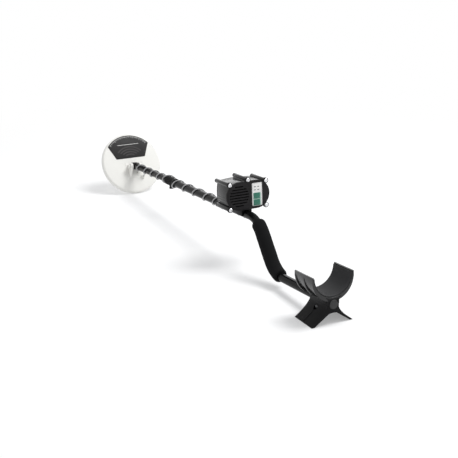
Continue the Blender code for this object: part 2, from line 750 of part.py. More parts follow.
def wrap_radius(x):
    """Distance of the cable's centre from the stem's axis."""
    lean = CABLE_RADIUS + GAP + 0.0006
    swell = 0.012
    rise = min(max((x - COLLAR_START + swell) / swell, 0.0), 1.0)
    fall = min(max((COLLAR_START + COLLAR_LENGTH + swell - x) / swell, 0.0), 1.0)
    base = LOWER_STEM_RADIUS if x < COLLAR_START else UPPER_STEM_RADIUS
    share = min(rise, fall)
    return lean + base + (COLLAR_RADIUS - base) * share


def wrap_turns(x):
    """Turns of the cable at a length along the stem, counted from the first crossing."""
    for index in range(len(WRAP_CROSSINGS) - 1):
        start, end = WRAP_CROSSINGS[index:index + 2]
        if x <= end:
            return index + (x - start) / (end - start)
    return len(WRAP_CROSSINGS) - 1.0


def wrap_point(x):
    """Place of the cable's centre in the stem frame; it winds from the near side over the top."""
    angle = math.pi - 2 * math.pi * wrap_turns(x)
    radius = wrap_radius(x)
    return x, radius * math.cos(angle), radius * math.sin(angle)


def wrap_heading(x):
    """Direction of the cable at a length along the stem."""
    return (Vector(wrap_point(x + 0.0005)) - Vector(wrap_point(x - 0.0005))).normalized()


def wrap_points(start, end):
    """Evenly turned points of the winding between two lengths."""
    count = max(2, round((wrap_turns(end) - wrap_turns(start)) * CABLE_STEPS))
    points = []
    for step in range(count + 1):
        points.append(wrap_point(start + (end - start) * step / count))
    points.insert(1, tuple(Vector(points[0]) + wrap_heading(start) * JOIN))
    points.insert(-1, tuple(Vector(points[-1]) - wrap_heading(end) * JOIN))
    return points


def smooth_route(points, steps=3):
    """Points on a smooth curve through the given ones."""
    placed_points = [Vector(point) for point in points]
    ends = [2 * placed_points[0] - placed_points[1], 2 * placed_points[-1] - placed_points[-2]]
    chain = [ends[0]] + placed_points + [ends[1]]
    route = []
    for index in range(1, len(chain) - 2):
        a, b, c, d = chain[index - 1:index + 3]
        for step in range(steps):
            t = step / steps
            route.append(
                0.5 * (2 * b + (c - a) * t + (2 * a - 5 * b + 4 * c - d) * t ** 2
                       + (3 * b - a - 3 * c + d) * t ** 3)
            )
    route.append(placed_points[-1])
    return [tuple(point) for point in route]


def cable(name, points, parent):
    """A length of the coil's cable."""
    return finished(placed(tube(name, points, CABLE_RADIUS, 2), parent), BLACK_GLOSS)


def coil_to_stem(x, y, z):
    """Stem-frame place of a point in the coil frame at rest."""
    turn = math.pi / 2 - COIL_LEAN + STEM_SLOPE
    return (
        x * math.cos(turn) + z * math.sin(turn),
        y,
        -x * math.sin(turn) + z * math.cos(turn),
    )


def coil_gland_base():
    """Coil-frame place of the gland's foot on the cover."""
    return COIL_GLAND_HEEL, COIL_GLAND_SIDE, HALF_COIL + GAP - PIVOT_HEIGHT


def coil_cable_lead():
    """The cable from the coil's gland to the stem, past the pivot."""
    x, y, z = coil_gland_base()
    start = coil_to_stem(x, y, z + CABLE_RADIUS)
    rise = coil_to_stem(x, y, z + GLAND_HEIGHT + 0.002)
    near = coil_to_stem(x - 0.008, y - 0.003, z + 0.026)
    heading = wrap_heading(WRAP_START)
    end = Vector(wrap_point(WRAP_START)) - heading * GAP
    route = [start] + smooth_route([rise, near, end - heading * 0.010, end - heading * 0.003])
    route.append(tuple(end))
    return cable("coil_cable_lead", route, STEM)


def box_gland_face():
    """Stem-frame place of the nose of the box's gland."""
    x = BODY_REAR - 2 * GAP - REAR_THICKNESS - GLAND_HEIGHT
    return x, BOX_GLAND_SIDE, BOX_HEIGHT + BOX_GLAND_LEVEL


def coil_cable_upper():
    """The winding on the upper stem and its way up into the box."""
    winding_points = wrap_points(WRAP_BRIDGE_END + GAP, WRAP_END)
    x, y, z = box_gland_face()
    last = Vector(winding_points[-1])
    out = [last + Vector((0.013, -0.012, 0.006)), (x - 0.012, y + 0.002, z - 0.006)]
    out.append((x - 0.003, y, z))
    route = winding_points[:-1] + smooth_route([last] + out)
    route.append((x + GLAND_HEIGHT - CABLE_RADIUS, y, z))
    return cable("coil_cable_upper", route, STEM)


# ---------------------------------------------------------------- control box

def bolt_tools(name, radius, length, sides=12):
    """One tool with a rod at each column of the box, along X."""
    shape = bmesh.new()
    for side, level in COLUMNS:
        rod = bmesh.ops.create_cone(
            shape, cap_ends=True, segments=sides, radius1=radius, radius2=radius, depth=length
        )
        bmesh.ops.translate(shape, verts=rod["verts"], vec=Vector((side, level, 0.0)))
    mesh = bpy.data.meshes.new(name)
    shape.to_mesh(mesh)
    shape.free()
    return linked(name, mesh)


def box_body():
    """Extruded case, open at both ends, with five bolt columns and rails for the board."""
    outer = bulged(BODY_HALF_WIDTH, BODY_HALF_HEIGHT, BODY_CORNER, BODY_BULGE)
    inner = bulged(
        BODY_HALF_WIDTH - BODY_WALL, BODY_HALF_HEIGHT - BODY_WALL, BODY_CORNER - BODY_WALL, BODY_BULGE
    )
    body = outline_solid("box_body", [outer, inner], BODY_LENGTH)
    middle = (BODY_REAR + BODY_FRONT) / 2 - BOX_FRONT
    placed(body, BOX, (middle, 0.0, 0.0), UPRIGHT)
    web = block("column_web", (0.006, 0.006, BODY_LENGTH))
    placed(web, body, (0.0, COLUMN_TOP - 0.0045, 0.0))
    combine(body, web, "UNION")
    columns = placed(bolt_tools("box_columns", COLUMN_RADIUS, BODY_LENGTH, 16), body)
    combine(body, columns, "UNION")
    bores = placed(bolt_tools("box_bores", BOX_BOLT_RADIUS + GAP, BODY_LENGTH * 1.2), body)
    combine(body, bores, "DIFFERENCE")
    wall = BODY_HALF_WIDTH - BODY_WALL
    for name, side in (("rail_near", -1), ("rail_far", 1)):
        rail = block(name, (0.005, 0.002, BODY_LENGTH - SPEAKER_DEPTH))
        middle = (side * (wall + BODY_BULGE - 0.0015), board_level() - 0.001 - GAP)
        placed(rail, body, (*middle, -SPEAKER_DEPTH / 2))
        combine(body, rail, "UNION")
    return finished(body, BLACK_GLOSS)


def board_level():
    """Level of the circuit board's underside in the box frame."""
    return -0.004


def end_gasket():
    """Thin seal between the case and the front face."""
    outer = bulged(BODY_HALF_WIDTH, BODY_HALF_HEIGHT, BODY_CORNER, BODY_BULGE)
    inner = bulged(
        BODY_HALF_WIDTH - BODY_WALL, BODY_HALF_HEIGHT - BODY_WALL, BODY_CORNER - BODY_WALL, BODY_BULGE
    )
    gasket = outline_solid("face_gasket", [outer, inner], GASKET_THICKNESS)
    middle = -FACE_THICKNESS - GAP - GASKET_THICKNESS / 2
    return finished(placed(gasket, BOX, (middle, 0.0, 0.0), UPRIGHT), RUBBER)


def grille_slots():
    """Closed slots that fill the speaker's circle."""
    slots = []
    for index in range(GRILLE_SLOTS):
        level = (index - (GRILLE_SLOTS - 1) / 2) * GRILLE_PITCH
        half = math.sqrt(GRILLE_RADIUS ** 2 - level ** 2)
        slots.append(rectangle((GRILLE_SIDE, level), half, GRILLE_SLOT / 2))
    return slots


def box_face():
    """Front face of the box: two round ends, bolt lobes, speaker slots and plunger holes."""
    reach = FACE_HALF_WIDTH - FACE_RADIUS
    outline = arc((reach, 0.0), FACE_RADIUS, -math.pi / 2, math.pi / 2, 16)
    outline += arc((-reach, 0.0), FACE_RADIUS, math.pi / 2, math.pi * 1.5, 16)
    holes = grille_slots()
    for level in PAD_LEVELS:
        holes.append(circle((PAD_SIDE, level), PLUNGER_RADIUS + RUNNING, 12))
    face = outline_solid("box_face", [outline] + holes, FACE_THICKNESS)
    placed(face, BOX, (-FACE_THICKNESS / 2, 0.0, 0.0), UPRIGHT)
    lobes = placed(bolt_tools("face_lobes", LOBE_RADIUS, FACE_THICKNESS, 20), face)
    combine(face, lobes, "UNION")
    bores = placed(bolt_tools("face_bores", BOX_BOLT_RADIUS + GAP, FACE_THICKNESS * 3), face)
    combine(face, bores, "DIFFERENCE")
    return finished(face, CHARCOAL)


def box_rear_plate():
    """Rear end plate of the box, bored for the cable gland and the headphone socket."""
    outline = bulged(BODY_HALF_WIDTH, BODY_HALF_HEIGHT, BODY_CORNER, BODY_BULGE)
    holes = [
        circle((BOX_GLAND_SIDE, BOX_GLAND_LEVEL), CABLE_RADIUS + GAP),
        circle((SOCKET_SIDE, SOCKET_LEVEL), SOCKET_NECK + GAP),
    ]
    plate = outline_solid("box_rear_plate", [outline] + holes, REAR_THICKNESS)
    middle = BODY_REAR - GAP - REAR_THICKNESS / 2 - BOX_FRONT
    placed(plate, BOX, (middle, 0.0, 0.0), UPRIGHT)
    lobes = placed(bolt_tools("rear_lobes", COLUMN_RADIUS, REAR_THICKNESS, 16), plate)
    combine(plate, lobes, "UNION")
    web = block("rear_web", (0.006, 0.006, REAR_THICKNESS))
    placed(web, plate, (0.0, COLUMN_TOP - 0.0045, 0.0))
    combine(plate, web, "UNION")
    depth = REAR_THICKNESS * 0.6
    bores = bolt_tools("rear_threads", BOX_BOLT_RADIUS + GAP, depth * 2)
    placed(bores, plate, (0.0, 0.0, REAR_THICKNESS / 2))
    combine(plate, bores, "DIFFERENCE")
    return finished(plate, BLACK_GLOSS)


def box_bolt(index):
    """Long chromed bolt with a domed, slotted head, from the face to the rear plate."""
    side, level = COLUMNS[index]
    length = BOX_FRONT - BODY_REAR + GAP + REAR_THICKNESS * 0.5
    profile = [
        (0.0, BOX_HEAD),
        (BOX_HEAD_RADIUS * 0.7, BOX_HEAD * 0.85),
        (BOX_HEAD_RADIUS, BOX_HEAD * 0.35),
        (BOX_HEAD_RADIUS, GAP),
        (BOX_BOLT_RADIUS, GAP),
        (BOX_BOLT_RADIUS, -length),
        (0.0, -length),
    ]
    bolt = turned(f"face_bolt_{index + 1}", profile, steps=16)
    placed(bolt, BOX, (0.0, side, level), ALONG)
    slot = block(f"bolt_slot_{index + 1}", (0.0012, 3 * BOX_HEAD_RADIUS, BOX_HEAD))
    placed(slot, bolt, (0.0, 0.0, BOX_HEAD * 1.1), (0.0, 0.0, math.radians(35 + 40 * index)))
    return finished(combine(bolt, slot, "DIFFERENCE"), CHROME)


def speaker():
    """Loudspeaker behind the slots: a steel bowl and a paper cone."""
    rim = SPEAKER_RADIUS
    throat = MAGNET_RADIUS * 0.55
    bowl_profile = [
        (0.0, -0.0090),
        (throat, -0.0085),
        (rim - 0.0045, -0.0010),
        (rim - 0.0025, 0.0),
        (rim, 0.0),
        (rim, -0.0020),
        (rim - 0.0030, -0.0020),
        (MAGNET_RADIUS + 0.001, -0.0095),
        (MAGNET_RADIUS, -SPEAKER_DEPTH),
        (0.0, -SPEAKER_DEPTH),
    ]
    cone_profile = [
        (0.0, -0.0050),
        (throat * 0.6, -0.0055),
        (throat, -0.0076),
        (rim - 0.0055, -0.0002),
        (rim - 0.0030, 0.0),
        (rim - 0.0048, -0.0006),
        (throat, -0.0082),
        (0.0, -0.0084),
    ]
    place = (-FACE_THICKNESS - GAP, GRILLE_SIDE, 0.0)
    bowl = turned("speaker_frame", bowl_profile, steps=28)
    finished(placed(bowl, BOX, place, ALONG), STEEL)
    cone = turned("speaker_cone", cone_profile, steps=28)
    finished(placed(cone, BOX, place, ALONG), PAPER)


def control_panel():
    """White film panel with windows for the two touch pads."""
    outline = rectangle((PANEL_SIDE, 0.0), PANEL_HALF_WIDTH, PANEL_HALF_HEIGHT, 0.003)
    loops = [outline]
    for level in PAD_LEVELS:
        half_width = PAD_HALF_WIDTH + GAP
        loops.append(rectangle((PAD_SIDE, level), half_width, PAD_HALF_HEIGHT + GAP))
    panel = outline_solid("control_panel", loops, PANEL_THICKNESS)
    middle = GAP + PANEL_THICKNESS / 2
    return finished(placed(panel, BOX, (middle, 0.0, 0.0), UPRIGHT), PANEL, smooth=False)


def touch_pad(name, level):
    """Green pad in the panel's window, with a plunger through the face to its switch."""
    outline = rectangle((0.0, 0.0), PAD_HALF_WIDTH, PAD_HALF_HEIGHT)
    pad = outline_solid(name, [outline], PAD_THICKNESS)
    height = PAD_TRAVEL + GAP + PAD_THICKNESS / 2
    placed(pad, BOX, (height, PAD_SIDE, level), UPRIGHT)
    length = FACE_THICKNESS + PAD_TRAVEL + GAP + JOIN
    plunger = cylinder(f"{name}_plunger", PLUNGER_RADIUS, length, 12)
    placed(plunger, pad, (0.0, 0.0, PAD_THICKNESS / 2 - 0.0002 - length / 2))
    return finished(combine(pad, plunger, "UNION"), GREEN, smooth=False)


def plunger_end():
    """X in the box frame of the pads' plunger ends at rest."""
    length = FACE_THICKNESS + PAD_TRAVEL + GAP + JOIN
    return PAD_TRAVEL + GAP + PAD_THICKNESS - 0.0002 - length


def keypad_board():
    """Small board behind the pads, with four stand-offs to the face."""
    depth = plunger_end() - PAD_TRAVEL - GAP - SWITCH_HEIGHT - GAP
    board = block("keypad_board", (BOARD_THICKNESS, 0.024, 0.031))
    middle_level = sum(PAD_LEVELS) / 2
    placed(board, BOX, (depth - BOARD_THICKNESS / 2, PAD_SIDE, middle_level))
    reach = -FACE_THICKNESS - GAP - depth
    for index, (side, level) in enumerate(((-1, -1), (1, -1), (1, 1), (-1, 1))):
        post = cylinder(f"keypad_post_{index + 1}", 0.0018, reach + BOARD_THICKNESS / 2, 10)
        x = BOARD_THICKNESS / 2 + reach / 2 - BOARD_THICKNESS / 4
        placed(post, board, (x, side * 0.0095, level * 0.0130), ALONG)
        combine(board, post, "UNION")
    return finished(board, BOARD, smooth=False)


def tact_switch(name, level):
    """Small push switch under a pad's plunger."""
    switch = block(name, (SWITCH_HEIGHT, SWITCH_SIZE, SWITCH_SIZE), 0.0004)
    place = plunger_end() - PAD_TRAVEL - GAP - SWITCH_HEIGHT / 2
    return finished(placed(switch, BOX, (place, PAD_SIDE, level)), BLACK_PLASTIC, smooth=False)


def circuit_board():
    """Main board on the rails of the case, with its tallest parts."""
    half = BODY_HALF_WIDTH - BODY_WALL - GAP
    length = BODY_LENGTH - 0.030
    board = block("circuit_board", (length, 2 * half, BOARD_THICKNESS))
    middle = BODY_REAR + 0.004 + length / 2 - BOX_FRONT
    placed(board, BOX, (middle, 0.0, board_level() + BOARD_THICKNESS / 2))
    chips = (
        ("transformer", (0.014, 0.016, 0.012), (-0.004, 0.026)),
        ("processor", (0.012, 0.012, 0.003), (0.004, 0.004)),
        ("capacitor_bank", (0.020, 0.010, 0.010), (0.000, -0.018)),
    )
    for name, size, (x, y) in chips:
        chip = block(name, size)
        placed(chip, board, (x, y, size[2] / 2 + BOARD_THICKNESS / 4))
        combine(board, chip, "UNION")
    return finished(board, BOARD, smooth=False)


def battery(name, side):
    """Nine-volt battery lying on the floor of the case."""
    cell = block(name, BATTERY_SIZE, 0.0015)
    floor = -BODY_HALF_HEIGHT + BODY_WALL - BODY_BULGE / 2 + GAP
    lift = floor + BATTERY_SIZE[2] / 2
    middle = BODY_REAR + GAP + BATTERY_SIZE[0] / 2 - BOX_FRONT
    return finished(placed(cell, BOX, (middle, side * BATTERY_SIDE, lift)), BATTERY, smooth=False)


def headphone_socket():
    """Jack socket through the rear plate: a nut outside and a body inside."""
    bore = 0.0032
    inside = REAR_THICKNESS + 2 * GAP
    profile = [
        (bore, 0.0060),
        (0.0060, 0.0060),
        (0.0075, 0.0045),
        (0.0075, GAP),
        (SOCKET_NECK, GAP),
        (SOCKET_NECK, -inside),
        (0.0065, -inside),
        (0.0065, -inside - 0.014),
        (bore, -inside - 0.014),
    ]
    socket = turned("headphone_socket", profile, steps=16, closed=True)
    face = BODY_REAR - GAP - REAR_THICKNESS - BOX_FRONT
    place = (face, SOCKET_SIDE, SOCKET_LEVEL)
    return finished(placed(socket, BOX, place, (0.0, -math.pi / 2, 0.0)), BLACK_PLASTIC)


def saddle_screw_places():
    """Lengths along the stem of the two saddle screws."""
    middle = (BODY_REAR + BODY_FRONT) / 2
    return middle - SADDLE_SCREW_SPACING / 2, middle + SADDLE_SCREW_SPACING / 2


def box_saddle():
    """Moulded saddle between the stem and the box's floor."""
    top = BOX_HEIGHT - BODY_HALF_HEIGHT - BODY_BULGE - GAP
    height = top + SADDLE_DEPTH
    saddle = block("box_saddle", (SADDLE_LENGTH, 2 * SADDLE_HALF_WIDTH, height), 0.001)
    middle = (BODY_REAR + BODY_FRONT) / 2
    placed(saddle, STEM, (middle, 0.0, top - height / 2))
    channel = cylinder("saddle_channel", UPPER_STEM_RADIUS + GAP, SADDLE_LENGTH * 1.5, 24)
    placed(channel, STEM, (middle, 0.0, 0.0), ALONG)
    combine(saddle, channel, "DIFFERENCE")
    for index, place in enumerate(saddle_screw_places()):
        thread = cylinder(f"saddle_thread_{index + 1}", SADDLE_SCREW_RADIUS + GAP, 0.006, 12)
        placed(thread, STEM, (place, 0.0, UPPER_STEM_RADIUS + 0.0015))
        combine(saddle, thread, "DIFFERENCE")
    return finished(saddle, BLACK_PLASTIC)


def saddle_screw(name, place):
    """Screw from below, through the stem into the saddle."""
    head = 0.0022
    tip = UPPER_STEM_RADIUS + 0.0035
    profile = [
        (0.0, tip),
        (SADDLE_SCREW_RADIUS, tip),
        (SADDLE_SCREW_RADIUS, -UPPER_STEM_RADIUS - GAP),
        (0.0034, -UPPER_STEM_RADIUS - GAP),
        (0.0034, -UPPER_STEM_RADIUS - head * 0.5),
        (0.0022, -UPPER_STEM_RADIUS - head),
        (0.0, -UPPER_STEM_RADIUS - head),
    ]
    screw = turned(name, profile, steps=12)
    return finished(placed(screw, STEM, (place, 0.0, 0.0)), STEEL)


# ---------------------------------------------------------------- arm cup and stand

def cup_arc(radius, half_angle, steps=20, lift=CUP_AXIS):
    """Points of a trough's arc, from the near rim down and up to the far rim."""
    start = -math.pi / 2 - half_angle
    end = -math.pi / 2 + half_angle
    return arc((0.0, lift), radius, start, end, steps)


def arm_cup():
    """Trough for the forearm: a curved wall, three tapering ribs and a block on the stem."""
    inner = CUP_RADIUS - CUP_WALL
    wall = cup_arc(CUP_RADIUS, CUP_HALF_ANGLE) + cup_arc(inner, CUP_HALF_ANGLE)[::-1]
    cup = outline_solid("arm_cup", [wall], CUP_LENGTH)
    placed(cup, REAR, rotation=UPRIGHT)
    rib = cup_arc(CUP_RADIUS - 0.001, CUP_HALF_ANGLE)[::-1]
    rib += cup_arc(CUP_RADIUS, CUP_HALF_ANGLE - 0.04, 20, CUP_AXIS - CUP_RIB_DEPTH)
    reach = (CUP_LENGTH - CUP_RIB_WIDTH) / 2
    for index, place in enumerate((-reach, 0.0, reach)):
        tool = outline_solid(f"cup_rib_{index + 1}", [rib], CUP_RIB_WIDTH)
        placed(tool, REAR, (place, 0.0, 0.0), UPRIGHT)
        combine(cup, tool, "UNION")
    top = CUP_AXIS - CUP_RADIUS + 0.001
    bottom = GAP / 2
    shoulder = CUP_BLOCK_HALF_WIDTH + 0.009
    climb = CUP_AXIS - math.sqrt((CUP_RADIUS - 0.001) ** 2 - shoulder ** 2)
    block_face = [
        (-CUP_BLOCK_HALF_WIDTH, bottom),
        (CUP_BLOCK_HALF_WIDTH, bottom),
        (CUP_BLOCK_HALF_WIDTH, top - 0.004),
        (shoulder, climb),
        (0.0, top),
        (-shoulder, climb),
        (-CUP_BLOCK_HALF_WIDTH, top - 0.004),
    ]
    base = outline_solid("cup_block", [block_face], CUP_LENGTH)
    placed(base, REAR, rotation=UPRIGHT)
    combine(cup, base, "UNION")
    channel = cylinder("cup_channel", UPPER_STEM_RADIUS + GAP, CUP_LENGTH * 1.5, 24)
    placed(channel, REAR, rotation=ALONG)
    combine(cup, channel, "DIFFERENCE")
    hole = cylinder("cup_bolt_hole", CUP_BOLT_RADIUS + GAP, 0.040, 12)
    placed(hole, REAR, (CUP_BOLT_OFFSET, 0.0, UPPER_STEM_RADIUS))
    combine(cup, hole, "DIFFERENCE")
    recess = cylinder("cup_bolt_recess", CUP_HEAD_RADIUS + GAP, 0.010, 16)
    placed(recess, REAR, (CUP_BOLT_OFFSET, 0.0, cup_floor() + 0.005 - CUP_HEAD - GAP))
    combine(cup, recess, "DIFFERENCE")
    return finished(cup, BLACK_PLASTIC)


def cup_floor():
    """Height of the cup's inner floor above the stem's axis."""
    return CUP_AXIS - CUP_RADIUS + CUP_WALL


def arm_cup_pad():
    """Foam lining glued inside the cup."""
    outer = CUP_RADIUS - CUP_WALL - GAP
    wall = cup_arc(outer, PAD_LINING_HALF_ANGLE)
    wall += cup_arc(outer - PAD_LINING, PAD_LINING_HALF_ANGLE)[::-1]
    pad = outline_solid("arm_cup_pad", [wall], CUP_LENGTH - 0.002)
    return finished(placed(pad, REAR, rotation=UPRIGHT), FOAM)


def arm_stand():
    """Two splayed legs under the stem, one moulding, level on the ground."""
    axis = REAR_WORLD[1]
    half = STAND_HALF_WIDTH
    cheek = CUP_BLOCK_HALF_WIDTH
    foot = STAND_LEG * 1.7
    bend = Vector((cheek + 0.0065, axis - 0.0225))
    start = Vector((cheek, axis - 0.006))
    toe = Vector((half, 0.0))
    flank = []
    for step in range(7):
        t = step / 6
        flank.append((1 - t) ** 2 * start + 2 * t * (1 - t) * bend + t ** 2 * toe)
    roof = axis - UPPER_STEM_RADIUS - STAND_ROOF + 0.006
    right = [(point.x, point.y) for point in flank]
    right.append((half - foot, 0.0))
    left = [(-x, y) for x, y in right[::-1]]
    under = [(0.010, roof - 0.001), (0.0, roof), (-0.010, roof - 0.001)]
    crown = axis + 0.004
    outline = [(cheek, crown)] + right + under + left + [(-cheek, crown)]
    stand = outline_solid("arm_stand", [outline], STAND_LENGTH)
    placed(stand, GROUND, rotation=UPRIGHT)
    lid = block("stand_top", (2 * STAND_LENGTH, 4 * cheek, 0.020))
    placed(lid, REAR, (0.0, 0.0, 0.010 - GAP / 2))
    combine(stand, lid, "DIFFERENCE")
    channel = cylinder("stand_channel", UPPER_STEM_RADIUS + GAP, STAND_LENGTH * 1.5, 24)
    placed(channel, REAR, rotation=ALONG)
    combine(stand, channel, "DIFFERENCE")
    hole = cylinder("stand_bolt_hole", CUP_BOLT_RADIUS + GAP, 0.060, 12)
    placed(hole, REAR, (CUP_BOLT_OFFSET, 0.0, -UPPER_STEM_RADIUS))
    combine(stand, hole, "DIFFERENCE")
    cross = cylinder("cross_bolt_hole", CROSS_BOLT_RADIUS + GAP, 0.080, 12)
    placed(cross, REAR, (CROSS_BOLT_OFFSET, 0.0, -CROSS_BOLT_DROP), ACROSS)
    combine(stand, cross, "DIFFERENCE")
    for name, side in (("near_spot_face", -1), ("far_spot_face", 1)):
        spot = cylinder(name, SPOT_FACE_RADIUS, 0.030, 20)
        middle = side * (cross_face() - GAP + 0.015)
        placed(spot, REAR, (CROSS_BOLT_OFFSET, middle, -CROSS_BOLT_DROP), ACROSS)
        combine(stand, spot, "DIFFERENCE")
    return finished(stand, BLACK_PLASTIC)


def nut_level():
    """Height, above the stem's axis, of the face that the cup bolt's nut bears on."""
    return -(UPPER_STEM_RADIUS + STAND_ROOF) + 0.004


def cup_bolt():
    """Bolt from the cup's floor down through the stem and the stand."""
    head = cup_floor() - GAP
    reach = head + CUP_HEAD - nut_level() + 0.008
    profile = [
        (0.0, 0.0),
        (CUP_HEAD_RADIUS, 0.0),
        (CUP_HEAD_RADIUS, -CUP_HEAD),
        (CUP_BOLT_RADIUS, -CUP_HEAD),
        (CUP_BOLT_RADIUS, -reach),
        (0.0, -reach),
    ]
    bolt = turned("cup_bolt", profile, steps=12)
    return finished(placed(bolt, REAR, (CUP_BOLT_OFFSET, 0.0, head)), STEEL)


def cup_nut():
    """Nut under the stand's roof."""
    outer = circle((0.0, 0.0), 0.0046, 6)
    bore = circle((0.0, 0.0), CUP_BOLT_RADIUS + GAP, 12)
    nut = outline_solid("cup_nut", [outer, bore], 0.004)
    return finished(placed(nut, REAR, (CUP_BOLT_OFFSET, 0.0, nut_level() - 0.002)), STEEL, False)


def cross_bolt():
    """Bolt across the stand's cheeks, just under the stem, with a domed head."""
    face = cross_face()
    profile = [
        (0.0, 0.0035),
        (0.0030, 0.0032),
        (0.0048, 0.0014),
        (0.0048, 0.0),
        (CROSS_BOLT_RADIUS, 0.0),
        (CROSS_BOLT_RADIUS, -2 * face - 0.005),
        (0.0, -2 * face - 0.005),
    ]
    bolt = turned("stand_bolt", profile, steps=16)
    place = (CROSS_BOLT_OFFSET, -face, -CROSS_BOLT_DROP)
    return finished(placed(bolt, REAR, place, ACROSS), STEEL)


def cross_face():
    """Distance from the middle to the faces that the cross bolt's head and nut bear on."""
    return CUP_BLOCK_HALF_WIDTH + 0.0015


def cross_nut():
    """Nut on the far side of the stand."""
    outer = circle((0.0, 0.0), 0.0045, 6)
    bore = circle((0.0, 0.0), CROSS_BOLT_RADIUS + GAP, 12)
    nut = outline_solid("stand_nut", [outer, bore], 0.0032)
    place = (CROSS_BOLT_OFFSET, cross_face() + 0.0016, -CROSS_BOLT_DROP)
    return finished(placed(nut, REAR, place, ACROSS), STEEL, False)


coil_top_shell()
coil_base_plate()
winding("transmit_winding", COIL_RADIUS - COIL_WALL - WINDING_INSET)
winding("receive_winding", RECEIVE_DIAMETER / 2)
coil_label()
placed(cable_gland("coil_cable_gland", WHITE), COIL, coil_gland_base())
pivot_bolt()
pivot_nut()
pivot_washer("pivot_washer_near", -1)
pivot_washer("pivot_washer_far", 1)

stem_tongue()
lower_stem()
upper_stem()
stem_end_plug()
grip_foam()
clamp_collar()
clamp_screw()

coil_cable_lead()
cable("coil_cable_lower", wrap_points(WRAP_START, WRAP_BRIDGE_START), STEM)
cable("coil_cable_bridge", wrap_points(WRAP_BRIDGE_START + GAP, WRAP_BRIDGE_END), STEM)
coil_cable_upper()

box_body()
end_gasket()
box_face()
box_rear_plate()
for bolt_index in range(len(COLUMNS)):
    box_bolt(bolt_index)
speaker()
control_panel()
touch_pad("touch_pad_upper", PAD_LEVELS[0])
touch_pad("touch_pad_lower", PAD_LEVELS[1])
keypad_board()
tact_switch("pad_switch_upper", PAD_LEVELS[0])
tact_switch("pad_switch_lower", PAD_LEVELS[1])
circuit_board()
battery("battery_near", -1)
battery("battery_far", 1)
headphone_socket()
box_gland = cable_gland("box_cable_gland", BLACK_PLASTIC)
gland_foot = BODY_REAR - 2 * GAP - REAR_THICKNESS - BOX_FRONT
placed(box_gland, BOX, (gland_foot, BOX_GLAND_SIDE, BOX_GLAND_LEVEL), (0.0, -math.pi / 2, 0.0))
box_saddle()
saddle_screw("saddle_screw_front", saddle_screw_places()[1])
saddle_screw("saddle_screw_rear", saddle_screw_places()[0])

arm_cup()
arm_cup_pad()
arm_stand()
cup_bolt()
cup_nut()
cross_bolt()
cross_nut()
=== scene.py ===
import json
import math

import bmesh
import bpy
from mathutils import Matrix, Vector


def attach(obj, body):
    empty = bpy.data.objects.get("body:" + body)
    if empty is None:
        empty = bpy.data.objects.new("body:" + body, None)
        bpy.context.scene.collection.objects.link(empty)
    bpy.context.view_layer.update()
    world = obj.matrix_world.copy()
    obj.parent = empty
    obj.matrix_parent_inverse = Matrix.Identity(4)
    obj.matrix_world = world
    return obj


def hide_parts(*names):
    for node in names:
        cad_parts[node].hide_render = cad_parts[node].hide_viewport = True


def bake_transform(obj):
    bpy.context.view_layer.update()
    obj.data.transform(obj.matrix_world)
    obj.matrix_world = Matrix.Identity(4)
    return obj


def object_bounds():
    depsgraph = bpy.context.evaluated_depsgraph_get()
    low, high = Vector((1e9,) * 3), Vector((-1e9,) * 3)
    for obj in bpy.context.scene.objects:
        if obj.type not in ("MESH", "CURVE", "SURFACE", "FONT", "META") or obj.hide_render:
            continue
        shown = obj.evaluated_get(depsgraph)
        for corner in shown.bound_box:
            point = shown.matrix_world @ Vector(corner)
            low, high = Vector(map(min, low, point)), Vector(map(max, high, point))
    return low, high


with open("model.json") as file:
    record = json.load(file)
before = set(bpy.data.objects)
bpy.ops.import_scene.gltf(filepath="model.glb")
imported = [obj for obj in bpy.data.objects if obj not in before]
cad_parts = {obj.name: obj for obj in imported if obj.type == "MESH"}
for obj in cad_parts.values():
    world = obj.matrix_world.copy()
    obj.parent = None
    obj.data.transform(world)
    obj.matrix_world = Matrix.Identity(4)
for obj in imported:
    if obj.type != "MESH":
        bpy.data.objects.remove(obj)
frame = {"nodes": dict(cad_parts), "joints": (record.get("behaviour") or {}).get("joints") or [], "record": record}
cad_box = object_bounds()
nodes = frame["nodes"]
joints = {joint["name"]: joint for joint in frame["joints"]}
mounts = {mount["name"]: mount for mount in frame["record"]["mounts"]}


# ------------------------ studio and camera
# A pale floor with no horizon, a soft lamp high on the camera's right and a weak one behind.
# The camera stands behind the user's left shoulder, well above the box, and looks down.

FLOOR_SIZE = 30.0
FLOOR_GAP = 0.0005
FADE_FROM = 0.8
FADE_TO = 1.9
ROOM_STRENGTH = 0.62
LAMPS_AIM = Vector((0.0, 0.0, 0.1))
CAMERA_PLACE = (2.213, -1.0984, 0.889)
CAMERA_AZIMUTH = 62.29
CAMERA_ELEVATION = 19.06
CAMERA_LENS = 73.06


def wire(tree, kind, **sockets):
    """A new shader node with some of its properties and input sockets set."""
    node = tree.nodes.new(kind)
    for name, value in sockets.items():
        if hasattr(node, name):
            setattr(node, name, value)
        else:
            node.inputs[name.replace("_", " ")].default_value = value
    return node


def stand_in_scene(name, data):
    """A new object that shows data."""
    obj = bpy.data.objects.new(name, data)
    bpy.context.scene.collection.objects.link(obj)
    return obj


def join(tree, *pairs):
    """Links each pair of an output socket and an input socket."""
    for output, entry in pairs:
        tree.links.new(output, entry)


def seen_directly(tree):
    """1 for camera, glossy and transmission rays, from Light Path."""
    path = wire(tree, "ShaderNodeLightPath")
    first = wire(tree, "ShaderNodeMath", operation="MAXIMUM")
    both = wire(tree, "ShaderNodeMath", operation="MAXIMUM")
    join(tree, (path.outputs["Is Camera Ray"], first.inputs[0]),
         (path.outputs["Is Glossy Ray"], first.inputs[1]),
         (first.outputs[0], both.inputs[0]),
         (path.outputs["Is Transmission Ray"], both.inputs[1]))
    return both.outputs[0]


